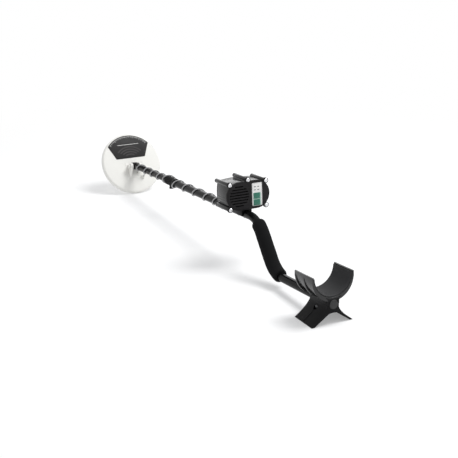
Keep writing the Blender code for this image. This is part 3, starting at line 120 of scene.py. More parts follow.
floor_mesh = bpy.data.meshes.new("studio_floor")
floor_shape = bmesh.new()
bmesh.ops.create_grid(floor_shape, x_segments=1, y_segments=1, size=FLOOR_SIZE / 2)
floor_shape.to_mesh(floor_mesh)
floor_shape.free()
floor = stand_in_scene("studio_floor", floor_mesh)
floor.location.z = cad_box[0][2] - FLOOR_GAP
paper = bpy.data.materials.new("studio_paper")
paper.use_nodes = True
paper_tree = paper.node_tree
paper_tree.nodes.clear()
paper_lit = wire(paper_tree, "ShaderNodeBsdfDiffuse", Color=(0.97, 0.97, 0.97, 1))
paper_white = wire(paper_tree, "ShaderNodeEmission", Color=(1, 1, 1, 1), Strength=1.0)
paper_place = wire(paper_tree, "ShaderNodeTexCoord")
paper_reach = wire(paper_tree, "ShaderNodeVectorMath", operation="LENGTH")
paper_fade = wire(paper_tree, "ShaderNodeMapRange", interpolation_type="SMOOTHSTEP",
                  From_Min=FADE_FROM, From_Max=FADE_TO, To_Min=0.3)
paper_share = wire(paper_tree, "ShaderNodeMath", operation="MULTIPLY")
paper_mix = wire(paper_tree, "ShaderNodeMixShader")
paper_out = wire(paper_tree, "ShaderNodeOutputMaterial")
join(paper_tree, (paper_place.outputs["Object"], paper_reach.inputs[0]),
     (paper_reach.outputs["Value"], paper_fade.inputs["Value"]),
     (paper_fade.outputs[0], paper_share.inputs[1]), (seen_directly(paper_tree), paper_share.inputs[0]),
     (paper_share.outputs[0], paper_mix.inputs[0]), (paper_lit.outputs[0], paper_mix.inputs[1]),
     (paper_white.outputs[0], paper_mix.inputs[2]), (paper_mix.outputs[0], paper_out.inputs[0]))
floor_mesh.materials.append(paper)

world = bpy.data.worlds.new("studio")
bpy.context.scene.world = world
world.use_nodes = True
world_tree = world.node_tree
world_tree.nodes.clear()
room_light = wire(world_tree, "ShaderNodeBackground", Color=(0.97, 0.98, 1.0, 1),
                  Strength=ROOM_STRENGTH)
room_white = wire(world_tree, "ShaderNodeBackground", Color=(1, 1, 1, 1), Strength=1.0)
room_mix = wire(world_tree, "ShaderNodeMixShader")
room_out = wire(world_tree, "ShaderNodeOutputWorld")
join(world_tree, (seen_directly(world_tree), room_mix.inputs[0]),
     (room_light.outputs[0], room_mix.inputs[1]), (room_white.outputs[0], room_mix.inputs[2]),
     (room_mix.outputs[0], room_out.inputs[0]))

for lamp_name, lamp_power, lamp_size, lamp_place in (
    ("key_lamp", 76.0, 1.5, (0.75, 1.3, 3.0)),
    ("back_lamp", 8.0, 1.4, (-2.4, 1.2, 1.3)),
):
    lamp_data = bpy.data.lights.new(lamp_name, "AREA")
    lamp_data.energy = lamp_power
    lamp_data.size = lamp_size
    lamp = stand_in_scene(lamp_name, lamp_data)
    lamp.location = lamp_place
    lamp.rotation_euler = (LAMPS_AIM - Vector(lamp_place)).to_track_quat("-Z", "Y").to_euler()

camera_data = bpy.data.cameras.new("camera")
camera_data.lens = CAMERA_LENS
camera_data.clip_end = 60.0
camera = stand_in_scene("camera", camera_data)
camera.location = CAMERA_PLACE
camera.rotation_euler = (math.radians(90 - CAMERA_ELEVATION), 0.0, math.radians(CAMERA_AZIMUTH))
bpy.context.scene.camera = camera
bpy.context.scene.view_settings.view_transform = "Standard"


# ------------------------ coil base plate
# Flat vacuum-formed underside of the search coil, white ABS, pressed into the cover's rim.
# It lies on the ground in use, so its fine grain is scuffed along the edge.

COIL_RADIUS = 0.1
HALF_COIL = 0.0075
COIL_SEAM = -HALF_COIL + 0.003
COIL_STEPS = 160
DISC_AHEAD = 0.0175
DISC_DROP = 0.0325
WHITE_ABS = (0.775, 0.77, 0.735)


def leaning_frame(origin, ahead, up):
    """Frame at the origin's x and z, with ahead as its X and up as its Z."""
    return Matrix((
        (ahead.x, 0, up.x, origin.x),
        (ahead.y, 1, up.y, 0),
        (ahead.z, 0, up.z, origin.z),
        (0, 0, 0, 1),
    ))


pivot = Vector(joints["coil_tilt"]["pos_m"])
coil_normal = -Vector(mounts["coil_face"]["axis"]).normalized()
coil_place = leaning_frame(pivot, Vector((0, 1, 0)).cross(coil_normal), coil_normal)
disc_place = coil_place @ Matrix.Translation((-DISC_AHEAD, 0, -DISC_DROP))


def surface_effects(name, build, outputs):
    """A node group made once; build fills it and links its outputs."""
    group = bpy.data.node_groups.new(name, "ShaderNodeTree")
    for socket, low in (("Scale", 300.0), ("Amount", 0.5)):
        made = group.interface.new_socket(socket, in_out="INPUT", socket_type="NodeSocketFloat")
        made.default_value = low
    for socket in outputs:
        group.interface.new_socket(socket, in_out="OUTPUT", socket_type="NodeSocketFloat")
    entry = group.nodes.new("NodeGroupInput")
    leave = group.nodes.new("NodeGroupOutput")
    build(group, entry, leave)
    return group


def fill_grain(group, entry, leave):
    """Height of a fine moulded grain, and a slow variation over the piece."""
    place = wire(group, "ShaderNodeTexCoord")
    fine = wire(group, "ShaderNodeTexNoise", Detail=3.0, Roughness=0.6)
    slow = wire(group, "ShaderNodeTexNoise", Scale=22.0, Detail=2.0)
    depth = wire(group, "ShaderNodeMath", operation="MULTIPLY")
    join(group, (place.outputs["Object"], fine.inputs["Vector"]),
         (place.outputs["Object"], slow.inputs["Vector"]),
         (entry.outputs["Scale"], fine.inputs["Scale"]), (fine.outputs[0], depth.inputs[0]),
         (entry.outputs["Amount"], depth.inputs[1]), (depth.outputs[0], leave.inputs["Height"]),
         (slow.outputs[0], leave.inputs["Variation"]))


def fill_edges(group, entry, leave):
    """Mask of rubbed edges, broken up by a noise."""
    place = wire(group, "ShaderNodeTexCoord")
    geometry = wire(group, "ShaderNodeNewGeometry")
    softened = wire(group, "ShaderNodeBevel", samples=3, Radius=0.0009)
    likeness = wire(group, "ShaderNodeVectorMath", operation="DOT_PRODUCT")
    edge = wire(group, "ShaderNodeMapRange", From_Min=0.985, From_Max=0.8)
    patch = wire(group, "ShaderNodeTexNoise", Detail=4.0)
    contrast = wire(group, "ShaderNodeMapRange", From_Min=0.4, From_Max=0.68)
    product = wire(group, "ShaderNodeMath", operation="MULTIPLY")
    scaled = wire(group, "ShaderNodeMath", operation="MULTIPLY")
    join(group, (geometry.outputs["Normal"], likeness.inputs[0]), (softened.outputs[0], likeness.inputs[1]),
         (likeness.outputs["Value"], edge.inputs["Value"]), (place.outputs["Object"], patch.inputs["Vector"]),
         (entry.outputs["Scale"], patch.inputs["Scale"]), (patch.outputs[0], contrast.inputs["Value"]),
         (edge.outputs[0], product.inputs[0]), (contrast.outputs[0], product.inputs[1]),
         (product.outputs[0], scaled.inputs[0]), (entry.outputs["Amount"], scaled.inputs[1]),
         (scaled.outputs[0], leave.inputs["Mask"]))


grain_group = surface_effects("moulded_grain", fill_grain, ("Height", "Variation"))
edge_group = surface_effects("rubbed_edges", fill_edges, ("Mask",))


def mixed(tree, factor, first, second):
    """Colour mix of two colours by a mask socket."""
    mix = wire(tree, "ShaderNodeMix", data_type="RGBA")
    tree.links.new(factor, mix.inputs["Factor"])
    for value, socket in ((first, mix.inputs[6]), (second, mix.inputs[7])):
        if isinstance(value, tuple):
            socket.default_value = (*value, 1)
        else:
            tree.links.new(value, socket)
    return mix.outputs[2]


def surface(name, colour, shade, roughness, grain=(600.0, 0.4), bump=0.00006, worn=None, wear=0.5,
            metallic=0.0, coat=0.0, specular=0.5, sheen=0.0):
    """A finish: two close colours, a roughness range, a grain and rubbed edges."""
    made = bpy.data.materials.new(name)
    made.use_nodes = True
    tree = made.node_tree
    shader = tree.nodes["Principled BSDF"]
    for socket, value in (("Metallic", metallic), ("Coat Weight", coat), ("Coat Roughness", 0.08),
                          ("Specular IOR Level", specular), ("Sheen Weight", sheen)):
        shader.inputs[socket].default_value = value
    skin = wire(tree, "ShaderNodeGroup", node_tree=grain_group, Scale=grain[0], Amount=grain[1])
    tint = mixed(tree, skin.outputs["Variation"], colour, shade)
    if worn:
        rub = wire(tree, "ShaderNodeGroup", node_tree=edge_group, Scale=90.0, Amount=wear)
        tint = mixed(tree, rub.outputs["Mask"], tint, worn)
    gloss = wire(tree, "ShaderNodeMapRange", From_Min=0.3, From_Max=0.7, To_Min=roughness[0],
                 To_Max=roughness[1])
    relief = wire(tree, "ShaderNodeBump", Distance=bump, Strength=1.0)
    join(tree, (tint, shader.inputs["Base Color"]), (skin.outputs["Variation"], gloss.inputs["Value"]),
         (gloss.outputs[0], shader.inputs["Roughness"]), (skin.outputs["Height"], relief.inputs["Height"]),
         (relief.outputs[0], shader.inputs["Normal"]))
    return made


def part(name, mesh, look, place, body=None, smooth=35):
    """A new piece with its finish, placed, shaded and riding on its body."""
    obj = stand_in_scene(name, mesh)
    mesh.materials.clear()
    mesh.materials.append(look)
    mesh.shade_smooth()
    mesh.set_sharp_from_angle(angle=math.radians(smooth))
    obj.matrix_world = place
    if body:
        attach(obj, body)
    return obj


def mesh_of(name, shape):
    """The bmesh as a mesh, with its faces turned outwards."""
    bmesh.ops.recalc_face_normals(shape, faces=shape.faces)
    mesh = bpy.data.meshes.new(name)
    shape.to_mesh(mesh)
    shape.free()
    return mesh


def add_turned(shape, profile, steps, place=Matrix()):
    """Adds to shape a profile of (radius, z) points turned about Z."""
    rows = []
    for radius, z in profile:
        if radius < 1e-7:
            rows.append([shape.verts.new(place @ Vector((0, 0, z)))])
            continue
        row = []
        for step in range(steps):
            angle = 2 * math.pi * step / steps
            spot = Vector((radius * math.cos(angle), radius * math.sin(angle), z))
            row.append(shape.verts.new(place @ spot))
        rows.append(row)
    for above, below in zip(rows, rows[1:]):
        for step in range(steps):
            corners = [above[step % len(above)], above[(step + 1) % len(above)]]
            corners += [below[(step + 1) % len(below)], below[step % len(below)]]
            shape.faces.new(list(dict.fromkeys(corners)))


def turned(name, profile, steps, place=Matrix()):
    """Mesh of a profile of (radius, z) points turned about Z."""
    shape = bmesh.new()
    add_turned(shape, profile, steps, place)
    return mesh_of(name, shape)


def rounded(profile, radius, steps=3):
    """The profile with its inner corners rounded."""
    smooth = [profile[0]]
    for before, corner, after in zip(profile, profile[1:], profile[2:]):
        corner = Vector(corner)
        back = Vector(before) - corner
        ahead = Vector(after) - corner
        reach = min(radius, back.length * 0.45, ahead.length * 0.45)
        start = corner + back.normalized() * reach
        end = corner + ahead.normalized() * reach
        for step in range(steps + 1):
            t = step / steps
            smooth.append(tuple((1 - t) ** 2 * start + 2 * t * (1 - t) * corner + t ** 2 * end))
    smooth.append(profile[-1])
    return smooth


base_look = surface("white_base", WHITE_ABS, (0.745, 0.735, 0.7), (0.34, 0.46), (900.0, 0.6), 0.00005,
                    (0.55, 0.54, 0.5), 0.35)
base_profile = rounded([
    (0.0, COIL_SEAM), (COIL_RADIUS - 0.0006, COIL_SEAM), (COIL_RADIUS, COIL_SEAM - 0.0006),
    (COIL_RADIUS, -HALF_COIL + 0.0015), (COIL_RADIUS - 0.0015, -HALF_COIL),
    (0.07, -HALF_COIL), (0.0692, -HALF_COIL + 0.0005), (0.066, -HALF_COIL + 0.0005),
    (0.0652, -HALF_COIL), (0.0, -HALF_COIL),
], 0.0005)
base_mesh = turned("base_skin", base_profile, COIL_STEPS)
base_skin = part("base_skin", base_mesh, base_look, disc_place, "coil")
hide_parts("coil_base_plate")


# ------------------------ windings
# Two bundles of enamelled copper wire laid in the cover: the transmitter at the rim and the
# receiver inside it. They lie out of sight between the cover and the plate.

winding_look = surface("enamelled_wire", (0.5, 0.2, 0.07), (0.4, 0.14, 0.05), (0.25, 0.4),
                       (2600.0, 1.0), 0.0002, metallic=1.0)


def carry(name, look, bevel=0.0, smooth=35):
    """Gives a carried CAD node its finish, with its edges eased where bevel is set."""
    node = nodes[name]
    node.data.materials.clear()
    node.data.materials.append(look)
    node.data.shade_smooth()
    node.data.set_sharp_from_angle(angle=math.radians(smooth))
    if bevel:
        merge = node.modifiers.new("merge", "WELD")
        merge.merge_threshold = 0.00001
        flat = node.modifiers.new("flats", "DECIMATE")
        flat.decimate_type = "DISSOLVE"
        flat.angle_limit = math.radians(1.0)
        ease = node.modifiers.new("edges", "BEVEL")
        ease.width = bevel
        ease.segments = 2
        ease.limit_method = "ANGLE"
        ease.angle_limit = math.radians(38)
        ease.harden_normals = True
    return node


carry("transmit_winding", winding_look)
carry("receive_winding", winding_look)


# ------------------------ coil cover
# Injection-moulded white ABS cover. The stem's yoke is moulded with it: two ears, each with a
# round bolt boss, a shallow pocket in its side and a swept foot towards the coil's heel.

EAR_INNER = 0.01035
EAR_THICK = 0.0085
EAR_FOOT = HALF_COIL - DISC_DROP
cover_look = surface("white_cover", WHITE_ABS, (0.755, 0.748, 0.712), (0.3, 0.42), (900.0, 0.5), 0.00004,
                     (0.56, 0.55, 0.51), 0.6, specular=0.35)


def arc(centre, radius, start, end, steps):
    """Points on an arc, with angles in degrees."""
    points = []
    for step in range(steps + 1):
        angle = math.radians(start + (end - start) * step / steps)
        points.append((centre[0] + radius * math.cos(angle), centre[1] + radius * math.sin(angle)))
    return points


def slab(name, loops, thickness, ease=0.0, steps=2):
    """Mesh of flat loops in XY with thickness along Z and eased edges; later loops are holes."""
    curve = bpy.data.curves.new(name, "CURVE")
    curve.dimensions = "2D"
    curve.fill_mode = "BOTH"
    curve.extrude = thickness / 2 - ease
    curve.bevel_depth = ease
    curve.bevel_resolution = steps
    curve.offset = -ease
    for loop in loops:
        spline = curve.splines.new("POLY")
        spline.points.add(len(loop) - 1)
        for slot, (x, y) in zip(spline.points, loop):
            slot.co = (x, y, 0.0, 1.0)
        spline.use_cyclic_u = True
    holder = stand_in_scene(name, curve)
    graph = bpy.context.evaluated_depsgraph_get()
    mesh = bpy.data.meshes.new_from_object(holder.evaluated_get(graph))
    bpy.data.objects.remove(holder)
    shape = bmesh.new()
    shape.from_mesh(mesh)
    bmesh.ops.remove_doubles(shape, verts=shape.verts, dist=0.000005)
    bmesh.ops.recalc_face_normals(shape, faces=shape.faces)
    shape.to_mesh(mesh)
    shape.free()
    return mesh


def joined(name, pieces):
    """One mesh of several (mesh, matrix) pairs."""
    shape = bmesh.new()
    for mesh, place in pieces:
        before = len(shape.verts)
        shape.from_mesh(mesh)
        shape.verts.ensure_lookup_table()
        bmesh.ops.transform(shape, matrix=place, verts=shape.verts[before:])
    mesh = bpy.data.meshes.new(name)
    shape.to_mesh(mesh)
    shape.free()
    return mesh


ACROSS = Matrix.Rotation(math.pi / 2, 4, "X")
cover_profile = rounded([
    (0.0, HALF_COIL), (0.056, HALF_COIL), (0.0568, HALF_COIL), (COIL_RADIUS - 0.004, HALF_COIL),
    (COIL_RADIUS, HALF_COIL - 0.004), (COIL_RADIUS, COIL_SEAM + 0.0009),
    (COIL_RADIUS - 0.0006, COIL_SEAM + 0.0003), (COIL_RADIUS - 0.003, COIL_SEAM + 0.0003),
], 0.0022, 5)
cover_disc = turned("cover_disc", cover_profile, COIL_STEPS)
ear_face = arc((0, 0), 0.01, -20, 200, 22)
ear_face += [(-0.0103, EAR_FOOT + 0.005), (-0.011, EAR_FOOT + 0.001), (-0.0115, EAR_FOOT - 0.001)]
ear_face += [(0.0315, EAR_FOOT - 0.001), (0.029, EAR_FOOT + 0.0008), (0.024, EAR_FOOT + 0.005)]
pocket_face = [(0.0035, -0.0075), (0.0085, -0.0062), (0.0185, EAR_FOOT + 0.0045)]
pocket_face += [(-0.0075, EAR_FOOT + 0.0045), (-0.0068, -0.0068)]
web_hole = [(x * 0.8 + 0.001, z * 0.84 - 0.0022) for x, z in pocket_face]
cover_pieces = [(cover_disc, disc_place)]
for side in (-1, 1):
    ear = slab("ear", [ear_face, arc((0, 0), 0.0033, 0, 352, 24)], EAR_THICK, 0.0009, 3)
    rim = slab("ear_rim", [arc((0, 0), 0.0096, 0, 354, 40), arc((0, 0), 0.0082, 0, 354, 40)],
               0.0012, 0.0004)
    web = slab("ear_web", [pocket_face, web_hole], 0.0012, 0.0004)
    middle = EAR_INNER + EAR_THICK / 2
    outside = EAR_INNER + EAR_THICK + 0.00005
    for moulding, reach in ((ear, middle), (rim, outside), (web, outside)):
        cover_pieces.append((moulding, coil_place @ Matrix.Translation((0, side * reach, 0)) @ ACROSS))
foot_pad = slab("foot_pad", [[(-0.0185, -0.0215), (-0.0165, -0.0235), (0.0325, -0.0235),
                              (0.0345, -0.0215), (0.0345, 0.0215), (0.0325, 0.0235),
                              (-0.0165, 0.0235), (-0.0185, 0.0215)]], 0.002, 0.0006, 3)
cover_pieces.append((foot_pad, coil_place @ Matrix.Translation((0, 0, EAR_FOOT + 0.0001))))
cover_mesh = joined("cover_skin", cover_pieces)
cover_mesh.transform(disc_place.inverted())
cover_skin = part("cover_skin", cover_mesh, cover_look, disc_place, "coil")
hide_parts("coil_top_shell")


# ------------------------ coil label
# Black film stuck on the toe half of the cover, with light printing: thin arcs about the coil's
# middle, a plain degree scale along its rim and one straight rule near its foot.

LABEL_RADIUS = 0.0945
PRINT_LIFT = 0.00031
film_look = surface("label_film", (0.024, 0.023, 0.023), (0.031, 0.03, 0.03), (0.3, 0.42),
                    (1400.0, 0.35), 0.00002, (0.1, 0.1, 0.1), 0.4, specular=0.1)
film_print = surface("label_print", (0.72, 0.72, 0.7), (0.64, 0.64, 0.62), (0.32, 0.44), (1400.0, 0.3),
                     0.00002)
film_grey = surface("label_grey", (0.06, 0.056, 0.056), (0.046, 0.044, 0.044), (0.3, 0.42),
                    (1400.0, 0.3), 0.00002, specular=0.1)
label_face = arc((0, 0), LABEL_RADIUS, 131.5, 228.5, 60)
label_face += arc((-0.0205, -0.0478), 0.0035, 270, 360, 6) + arc((-0.0205, 0.0478), 0.0035, 0, 90, 6)
label_mesh = slab("label_skin", [label_face], 0.0006, 0.0002)
label_place = disc_place @ Matrix.Translation((0, 0, HALF_COIL + 0.00015 + 0.0003))
label_skin = part("label_skin", label_mesh, film_look, label_place, "coil")
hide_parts("coil_label")


def sector(radius, width, start, end, steps=40):
    """Closed outline of a thin part of a ring."""
    return arc((0, 0), radius + width / 2, start, end, steps) + arc(
        (0, 0), radius - width / 2, end, start, steps)


print_height = Matrix.Translation((0, 0, PRINT_LIFT))
grey_pieces = []
for ring_radius, ring_reach in ((0.03, 30), (0.0385, 38), (0.047, 43), (0.0555, 46)):
    band = sector(ring_radius, 0.0042, 180 - ring_reach, 180 + ring_reach)
    grey_pieces.append((slab("ring_print", [band], 0.00008), print_height))
part("label_rings", joined("label_rings", grey_pieces), film_grey, label_place, "coil")
light_pieces = [(slab("rim_print", [sector(0.0905, 0.0007, 135, 225, 60)], 0.0001), print_height)]
for tick in range(19):
    tick_angle = 137 + tick * 86 / 18
    tick_length = 0.0042 if tick % 3 == 0 else 0.0024
    tick_face = [(-tick_length / 2, -0.00035), (tick_length / 2, -0.00035),
                 (tick_length / 2, 0.00035), (-tick_length / 2, 0.00035)]
    turn = Matrix.Rotation(math.radians(tick_angle), 4, "Z")
    spot = Matrix.Translation((0.0895 - tick_length / 2, 0, PRINT_LIFT))
    light_pieces.append((slab("tick", [tick_face], 0.0001), turn @ spot))
rule_face = [(-0.064, -0.037), (-0.0628, -0.037), (-0.0628, 0.037), (-0.064, 0.037)]
light_pieces.append((slab("rule", [rule_face], 0.0001), print_height))
part("label_lines", joined("label_lines", light_pieces), film_print, label_place, "coil")


# ------------------------ coil pivot
# White nylon hexagon bolt and lobed thumb nut squeeze the ears on two rubber friction washers,
# so the coil keeps the tilt that it is set to. The tongue is the lower stem's moulded tip.

nylon_look = surface("white_nylon", (0.78, 0.78, 0.74), (0.73, 0.73, 0.69), (0.38, 0.5), (800.0, 0.5),
                     0.00006, (0.62, 0.61, 0.57), 0.4)
rubber_look = surface("black_rubber", (0.02, 0.02, 0.02), (0.028, 0.028, 0.027), (0.75, 0.9),
                      (1500.0, 0.8), 0.00008, specular=0.3)
moulded_look = surface("black_moulding", (0.005, 0.005, 0.0054), (0.0075, 0.0075, 0.008), (0.3, 0.42),
                       (1100.0, 0.7), 0.00006, (0.06, 0.06, 0.062), 0.4, specular=0.1)
carry("pivot_bolt", nylon_look, 0.0005)
carry("pivot_thumb_nut", nylon_look, 0.0007)
for washer in ("pivot_washer_near", "pivot_washer_far"):
    carry(washer, rubber_look, 0.0003)
carry("stem_tongue", moulded_look, 0.0008)
carry("coil_cable_gland", nylon_look, 0.0003)


# ------------------------ stems
# Two aluminium tubes with a gloss black powder coat. The lower one is straight and slides in the
# upper one, which is bent twice: the front run carries the box and the rear run the arm cup.

LOWER_RADIUS = 0.0095
UPPER_RADIUS = 0.011
UPPER_MOUTH = 0.262
BEND_START = 0.777
BEND_RADIUS = 0.075
BEND_ANGLE = math.radians(55)
STEM_DROP = 0.1235
STEM_LENGTH = 1.2067
LEG = (STEM_DROP - 2 * BEND_RADIUS * (1 - math.cos(BEND_ANGLE))) / math.sin(BEND_ANGLE)
LEG_START = BEND_START + BEND_RADIUS * BEND_ANGLE
LEG_END = LEG_START + LEG
REAR_START = LEG_END + BEND_RADIUS * BEND_ANGLE
stem_ahead = -Vector(joints["stem_extension"]["axis"]).normalized()
stem_place = leaning_frame(pivot, stem_ahead, stem_ahead.cross(Vector((0, 1, 0))))
ALONG = Matrix.Rotation(math.pi / 2, 4, "Y")


def stem_point(length):
    """Point in the stem's frame on its centreline, at a length from the pivot."""
    turn = min(max((length - BEND_START) / BEND_RADIUS, 0.0), BEND_ANGLE)
    x = min(length, BEND_START) + BEND_RADIUS * math.sin(turn)
    z = -BEND_RADIUS * (1 - math.cos(turn))
    along = min(max(length - LEG_START, 0.0), LEG)
    x += along * math.cos(BEND_ANGLE)
    z -= along * math.sin(BEND_ANGLE)
    slope = BEND_ANGLE - min(max((length - LEG_END) / BEND_RADIUS, 0.0), BEND_ANGLE)
    x += BEND_RADIUS * (math.sin(BEND_ANGLE) - math.sin(slope))
    z -= BEND_RADIUS * (math.cos(slope) - math.cos(BEND_ANGLE))
    return Vector((x + max(length - REAR_START, 0.0), 0.0, z))


def stem_lengths(start, end, fine=0.003):
    """Lengths along the stem: close together in the bends, and 20 mm apart elsewhere."""
    lengths = [start]
    while lengths[-1] < end - 0.0001:
        here = lengths[-1]
        bent = BEND_START - 0.001 <= here < LEG_START or LEG_END - 0.001 <= here < REAR_START
        step = fine if bent else 0.02
        for edge in (BEND_START, LEG_START, LEG_END, REAR_START):
            if here + 0.0001 < edge < here + step:
                step = edge - here
        lengths.append(min(here + step, end))
    return lengths


def add_sweep(shape, points, radii, sides=32):
    """Adds a round skin along points with closed ends; radii has a radius for each point."""
    ahead = (points[1] - points[0]).normalized()
    side = ahead.orthogonal().normalized()
    rows = []
    for index, point in enumerate(points):
        before = points[max(index - 1, 0)]
        after = points[min(index + 1, len(points) - 1)]
        turned_to = (after - before).normalized()
        side = ahead.rotation_difference(turned_to) @ side
        side = (side - turned_to * side.dot(turned_to)).normalized()
        ahead = turned_to
        other = ahead.cross(side)
        row = []
        for step in range(sides):
            angle = 2 * math.pi * step / sides
            around = side * math.cos(angle) + other * math.sin(angle)
            row.append(shape.verts.new(point + around * radii[index]))
        rows.append(row)
    for above, below in zip(rows, rows[1:]):
        for step in range(sides):
            after = (step + 1) % sides
            shape.faces.new((above[step], above[after], below[after], below[step]))
    shape.faces.new(rows[0][::-1])
    shape.faces.new(rows[-1])
    return shape


tube_look = surface("powder_coat", (0.0035, 0.0035, 0.0038), (0.005, 0.005, 0.0054), (0.17, 0.24),
                    (500.0, 0.6), 0.00002, (0.05, 0.05, 0.053), 0.3, specular=0.11)
lower_profile = rounded([
    (LOWER_RADIUS - 0.0015, 0.45), (LOWER_RADIUS, 0.45), (LOWER_RADIUS, 0.0163),
    (LOWER_RADIUS - 0.0015, 0.0163), (LOWER_RADIUS - 0.0015, 0.02),
], 0.0004)
lower_mesh = turned("lower_tube", lower_profile, 64, ALONG)
lower_tube = part("lower_tube", lower_mesh, tube_look, stem_place, "lower")
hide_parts("lower_stem")

upper_points = [stem_point(length) for length in stem_lengths(UPPER_MOUTH, STEM_LENGTH)]
upper_shape = add_sweep(bmesh.new(), upper_points, [UPPER_RADIUS] * len(upper_points), 64)
upper_mesh = mesh_of("upper_tube", upper_shape)
upper_mesh.transform(stem_place)
upper_tube = part("upper_tube", upper_mesh, tube_look, Matrix(), "handle", 50)
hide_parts("upper_stem")
plug_look = surface("grey_plug", (0.028, 0.028, 0.0285), (0.036, 0.036, 0.0365), (0.42, 0.55),
                    (1200.0, 0.7), 0.00006, (0.09, 0.09, 0.09), 0.5, specular=0.25)
carry("stem_end_plug", plug_look, 0.0005, 20)


# ------------------------ clamp collar
# Black nylon collar pressed on the upper tube's mouth, ribbed for the hand, with a boss beneath.
# The knurled thumb screw in the boss locks the lower tube at the length that suits the user.

COLLAR_FRONT = 0.256
COLLAR_BACK = 0.322
COLLAR_RADIUS = 0.0135
COLLAR_RIBS = 7
CLAMP_AT = 0.286
collar_edge = [(UPPER_RADIUS + 0.0003, COLLAR_BACK), (COLLAR_RADIUS - 0.0012, COLLAR_BACK),
               (COLLAR_RADIUS, COLLAR_BACK - 0.003)]
rib_pitch = (COLLAR_BACK - COLLAR_FRONT - 0.02) / COLLAR_RIBS
for rib in range(COLLAR_RIBS):
    rib_top = COLLAR_BACK - 0.008 - rib * rib_pitch
    collar_edge += [(COLLAR_RADIUS, rib_top), (COLLAR_RADIUS - 0.0013, rib_top - 0.001),
                    (COLLAR_RADIUS - 0.0013, rib_top - rib_pitch * 0.5),
                    (COLLAR_RADIUS, rib_top - rib_pitch * 0.5 - 0.001)]
collar_edge += [(COLLAR_RADIUS, COLLAR_FRONT + 0.0025), (COLLAR_RADIUS - 0.0015, COLLAR_FRONT),
                (LOWER_RADIUS + 0.0004, COLLAR_FRONT), (LOWER_RADIUS + 0.0004, COLLAR_FRONT + 0.004)]
collar_shape = bmesh.new()
add_turned(collar_shape, rounded(collar_edge, 0.0006, 2), 64, ALONG)
boss_edge = rounded([(0.0, -COLLAR_RADIUS + 0.003), (0.0074, -COLLAR_RADIUS + 0.003),
                     (0.0064, -COLLAR_RADIUS - 0.001), (0.0064, -COLLAR_RADIUS - 0.0028),
                     (0.0024, -COLLAR_RADIUS - 0.0028), (0.0024, -COLLAR_RADIUS - 0.001)], 0.0007)
add_turned(collar_shape, boss_edge, 40, Matrix.Translation((CLAMP_AT, 0, 0)))
collar_skin = part("collar_skin", mesh_of("collar_skin", collar_shape), moulded_look, stem_place,
                   "handle")
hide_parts("clamp_collar")
carry("clamp_screw", moulded_look, 0.0004, 25)


# ------------------------ grip
# Closed-cell black foam tube slid over the stem's bends. It swells a little between its ends,
# is slightly uneven along its length and has a matt, finely pitted skin.

GRIP_START = 0.819
GRIP_LENGTH = 0.157
GRIP_RADIUS = 0.0185
GRIP_SOFT_END = 0.0014
foam_look = surface("grip_foam", (0.0065, 0.0065, 0.0068), (0.0105, 0.0105, 0.011), (0.82, 0.95),
                    (1300.0, 1.0), 0.00022, (0.03, 0.03, 0.03), 0.3, specular=0.06, sheen=0.02)
grip_points = []
grip_radii = []
grip_lengths = [GRIP_START + GRIP_LENGTH * step / 78 for step in range(79)]
end_height = GRIP_RADIUS - GRIP_SOFT_END - UPPER_RADIUS
for edge_share in (0.25, 0.6, 0.9):
    grip_points.append(stem_point(GRIP_START + 0.0018 * (1 - edge_share) * 0.5))
    grip_radii.append(UPPER_RADIUS + end_height * edge_share)
for grip_length in grip_lengths:
    from_end = min(grip_length - GRIP_START, GRIP_START + GRIP_LENGTH - grip_length)
    soften = 1 - max(0.0, 1 - from_end / 0.0035) ** 2
    share = (grip_length - GRIP_START) / GRIP_LENGTH
    swell = 0.0004 * math.sin(math.pi * share) + 0.00016 * math.sin(share * 41) * math.sin(share * 17)
    grip_points.append(stem_point(grip_length + 0.0012))
    grip_radii.append(GRIP_RADIUS - 0.0005 - GRIP_SOFT_END * (1 - soften) + swell)
for edge_share in (0.9, 0.6, 0.25):
    grip_points.append(stem_point(GRIP_START + GRIP_LENGTH + 0.0022 - 0.0004 * edge_share))
    grip_radii.append(UPPER_RADIUS + end_height * edge_share)
grip_shape = add_sweep(bmesh.new(), grip_points, grip_radii, 56)
grip_sleeve = part("grip_sleeve", mesh_of("grip_sleeve", grip_shape), foam_look, stem_place,
                   "handle", 60)
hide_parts("grip_foam")


# ------------------------ coil cable
# One grey PVC cable of 3.5 mm. It leaves the cover's gland, passes the pivot with some slack and
# winds left-handed round both tubes to the gland in the box's rear plate.

CABLE_RADIUS = 0.00175
CROSSINGS = (-0.012, 0.038, 0.098, 0.149, 0.199, 0.25, 0.326, 0.392, 0.46, 0.53, 0.588, 0.64)
WRAP_START = 0.0215
BRIDGE_START = 0.24
BRIDGE_END = 0.346
WRAP_END = 0.64
WRAP_STEP = 0.0016
COLLAR_RAMP = 0.012
cable_look = surface("cable_sheath", (0.26, 0.26, 0.265), (0.32, 0.32, 0.325), (0.16, 0.24), (500.0, 0.8),
                     0.00005, specular=0.5, coat=0.8)


def wrap_point(x):
    """Centre of the wound cable at x along the stem, in the stem's frame."""
    rise = min(max((x - COLLAR_FRONT + COLLAR_RAMP) / COLLAR_RAMP, 0.0), 1.0)
    fall = min(max((COLLAR_BACK + COLLAR_RAMP - x) / COLLAR_RAMP, 0.0), 1.0)
    core = LOWER_RADIUS if x < COLLAR_FRONT else UPPER_RADIUS
    core += (COLLAR_RADIUS - core) * min(rise, fall)
    turns = len(CROSSINGS) - 1.0
    for index, (start, end) in enumerate(zip(CROSSINGS, CROSSINGS[1:])):
        if x <= end:
            turns = index + (x - start) / (end - start)
            break
    angle = math.pi - 2 * math.pi * turns
    reach = core + CABLE_RADIUS + 0.0005
    return Vector((x, reach * math.cos(angle), reach * math.sin(angle)))


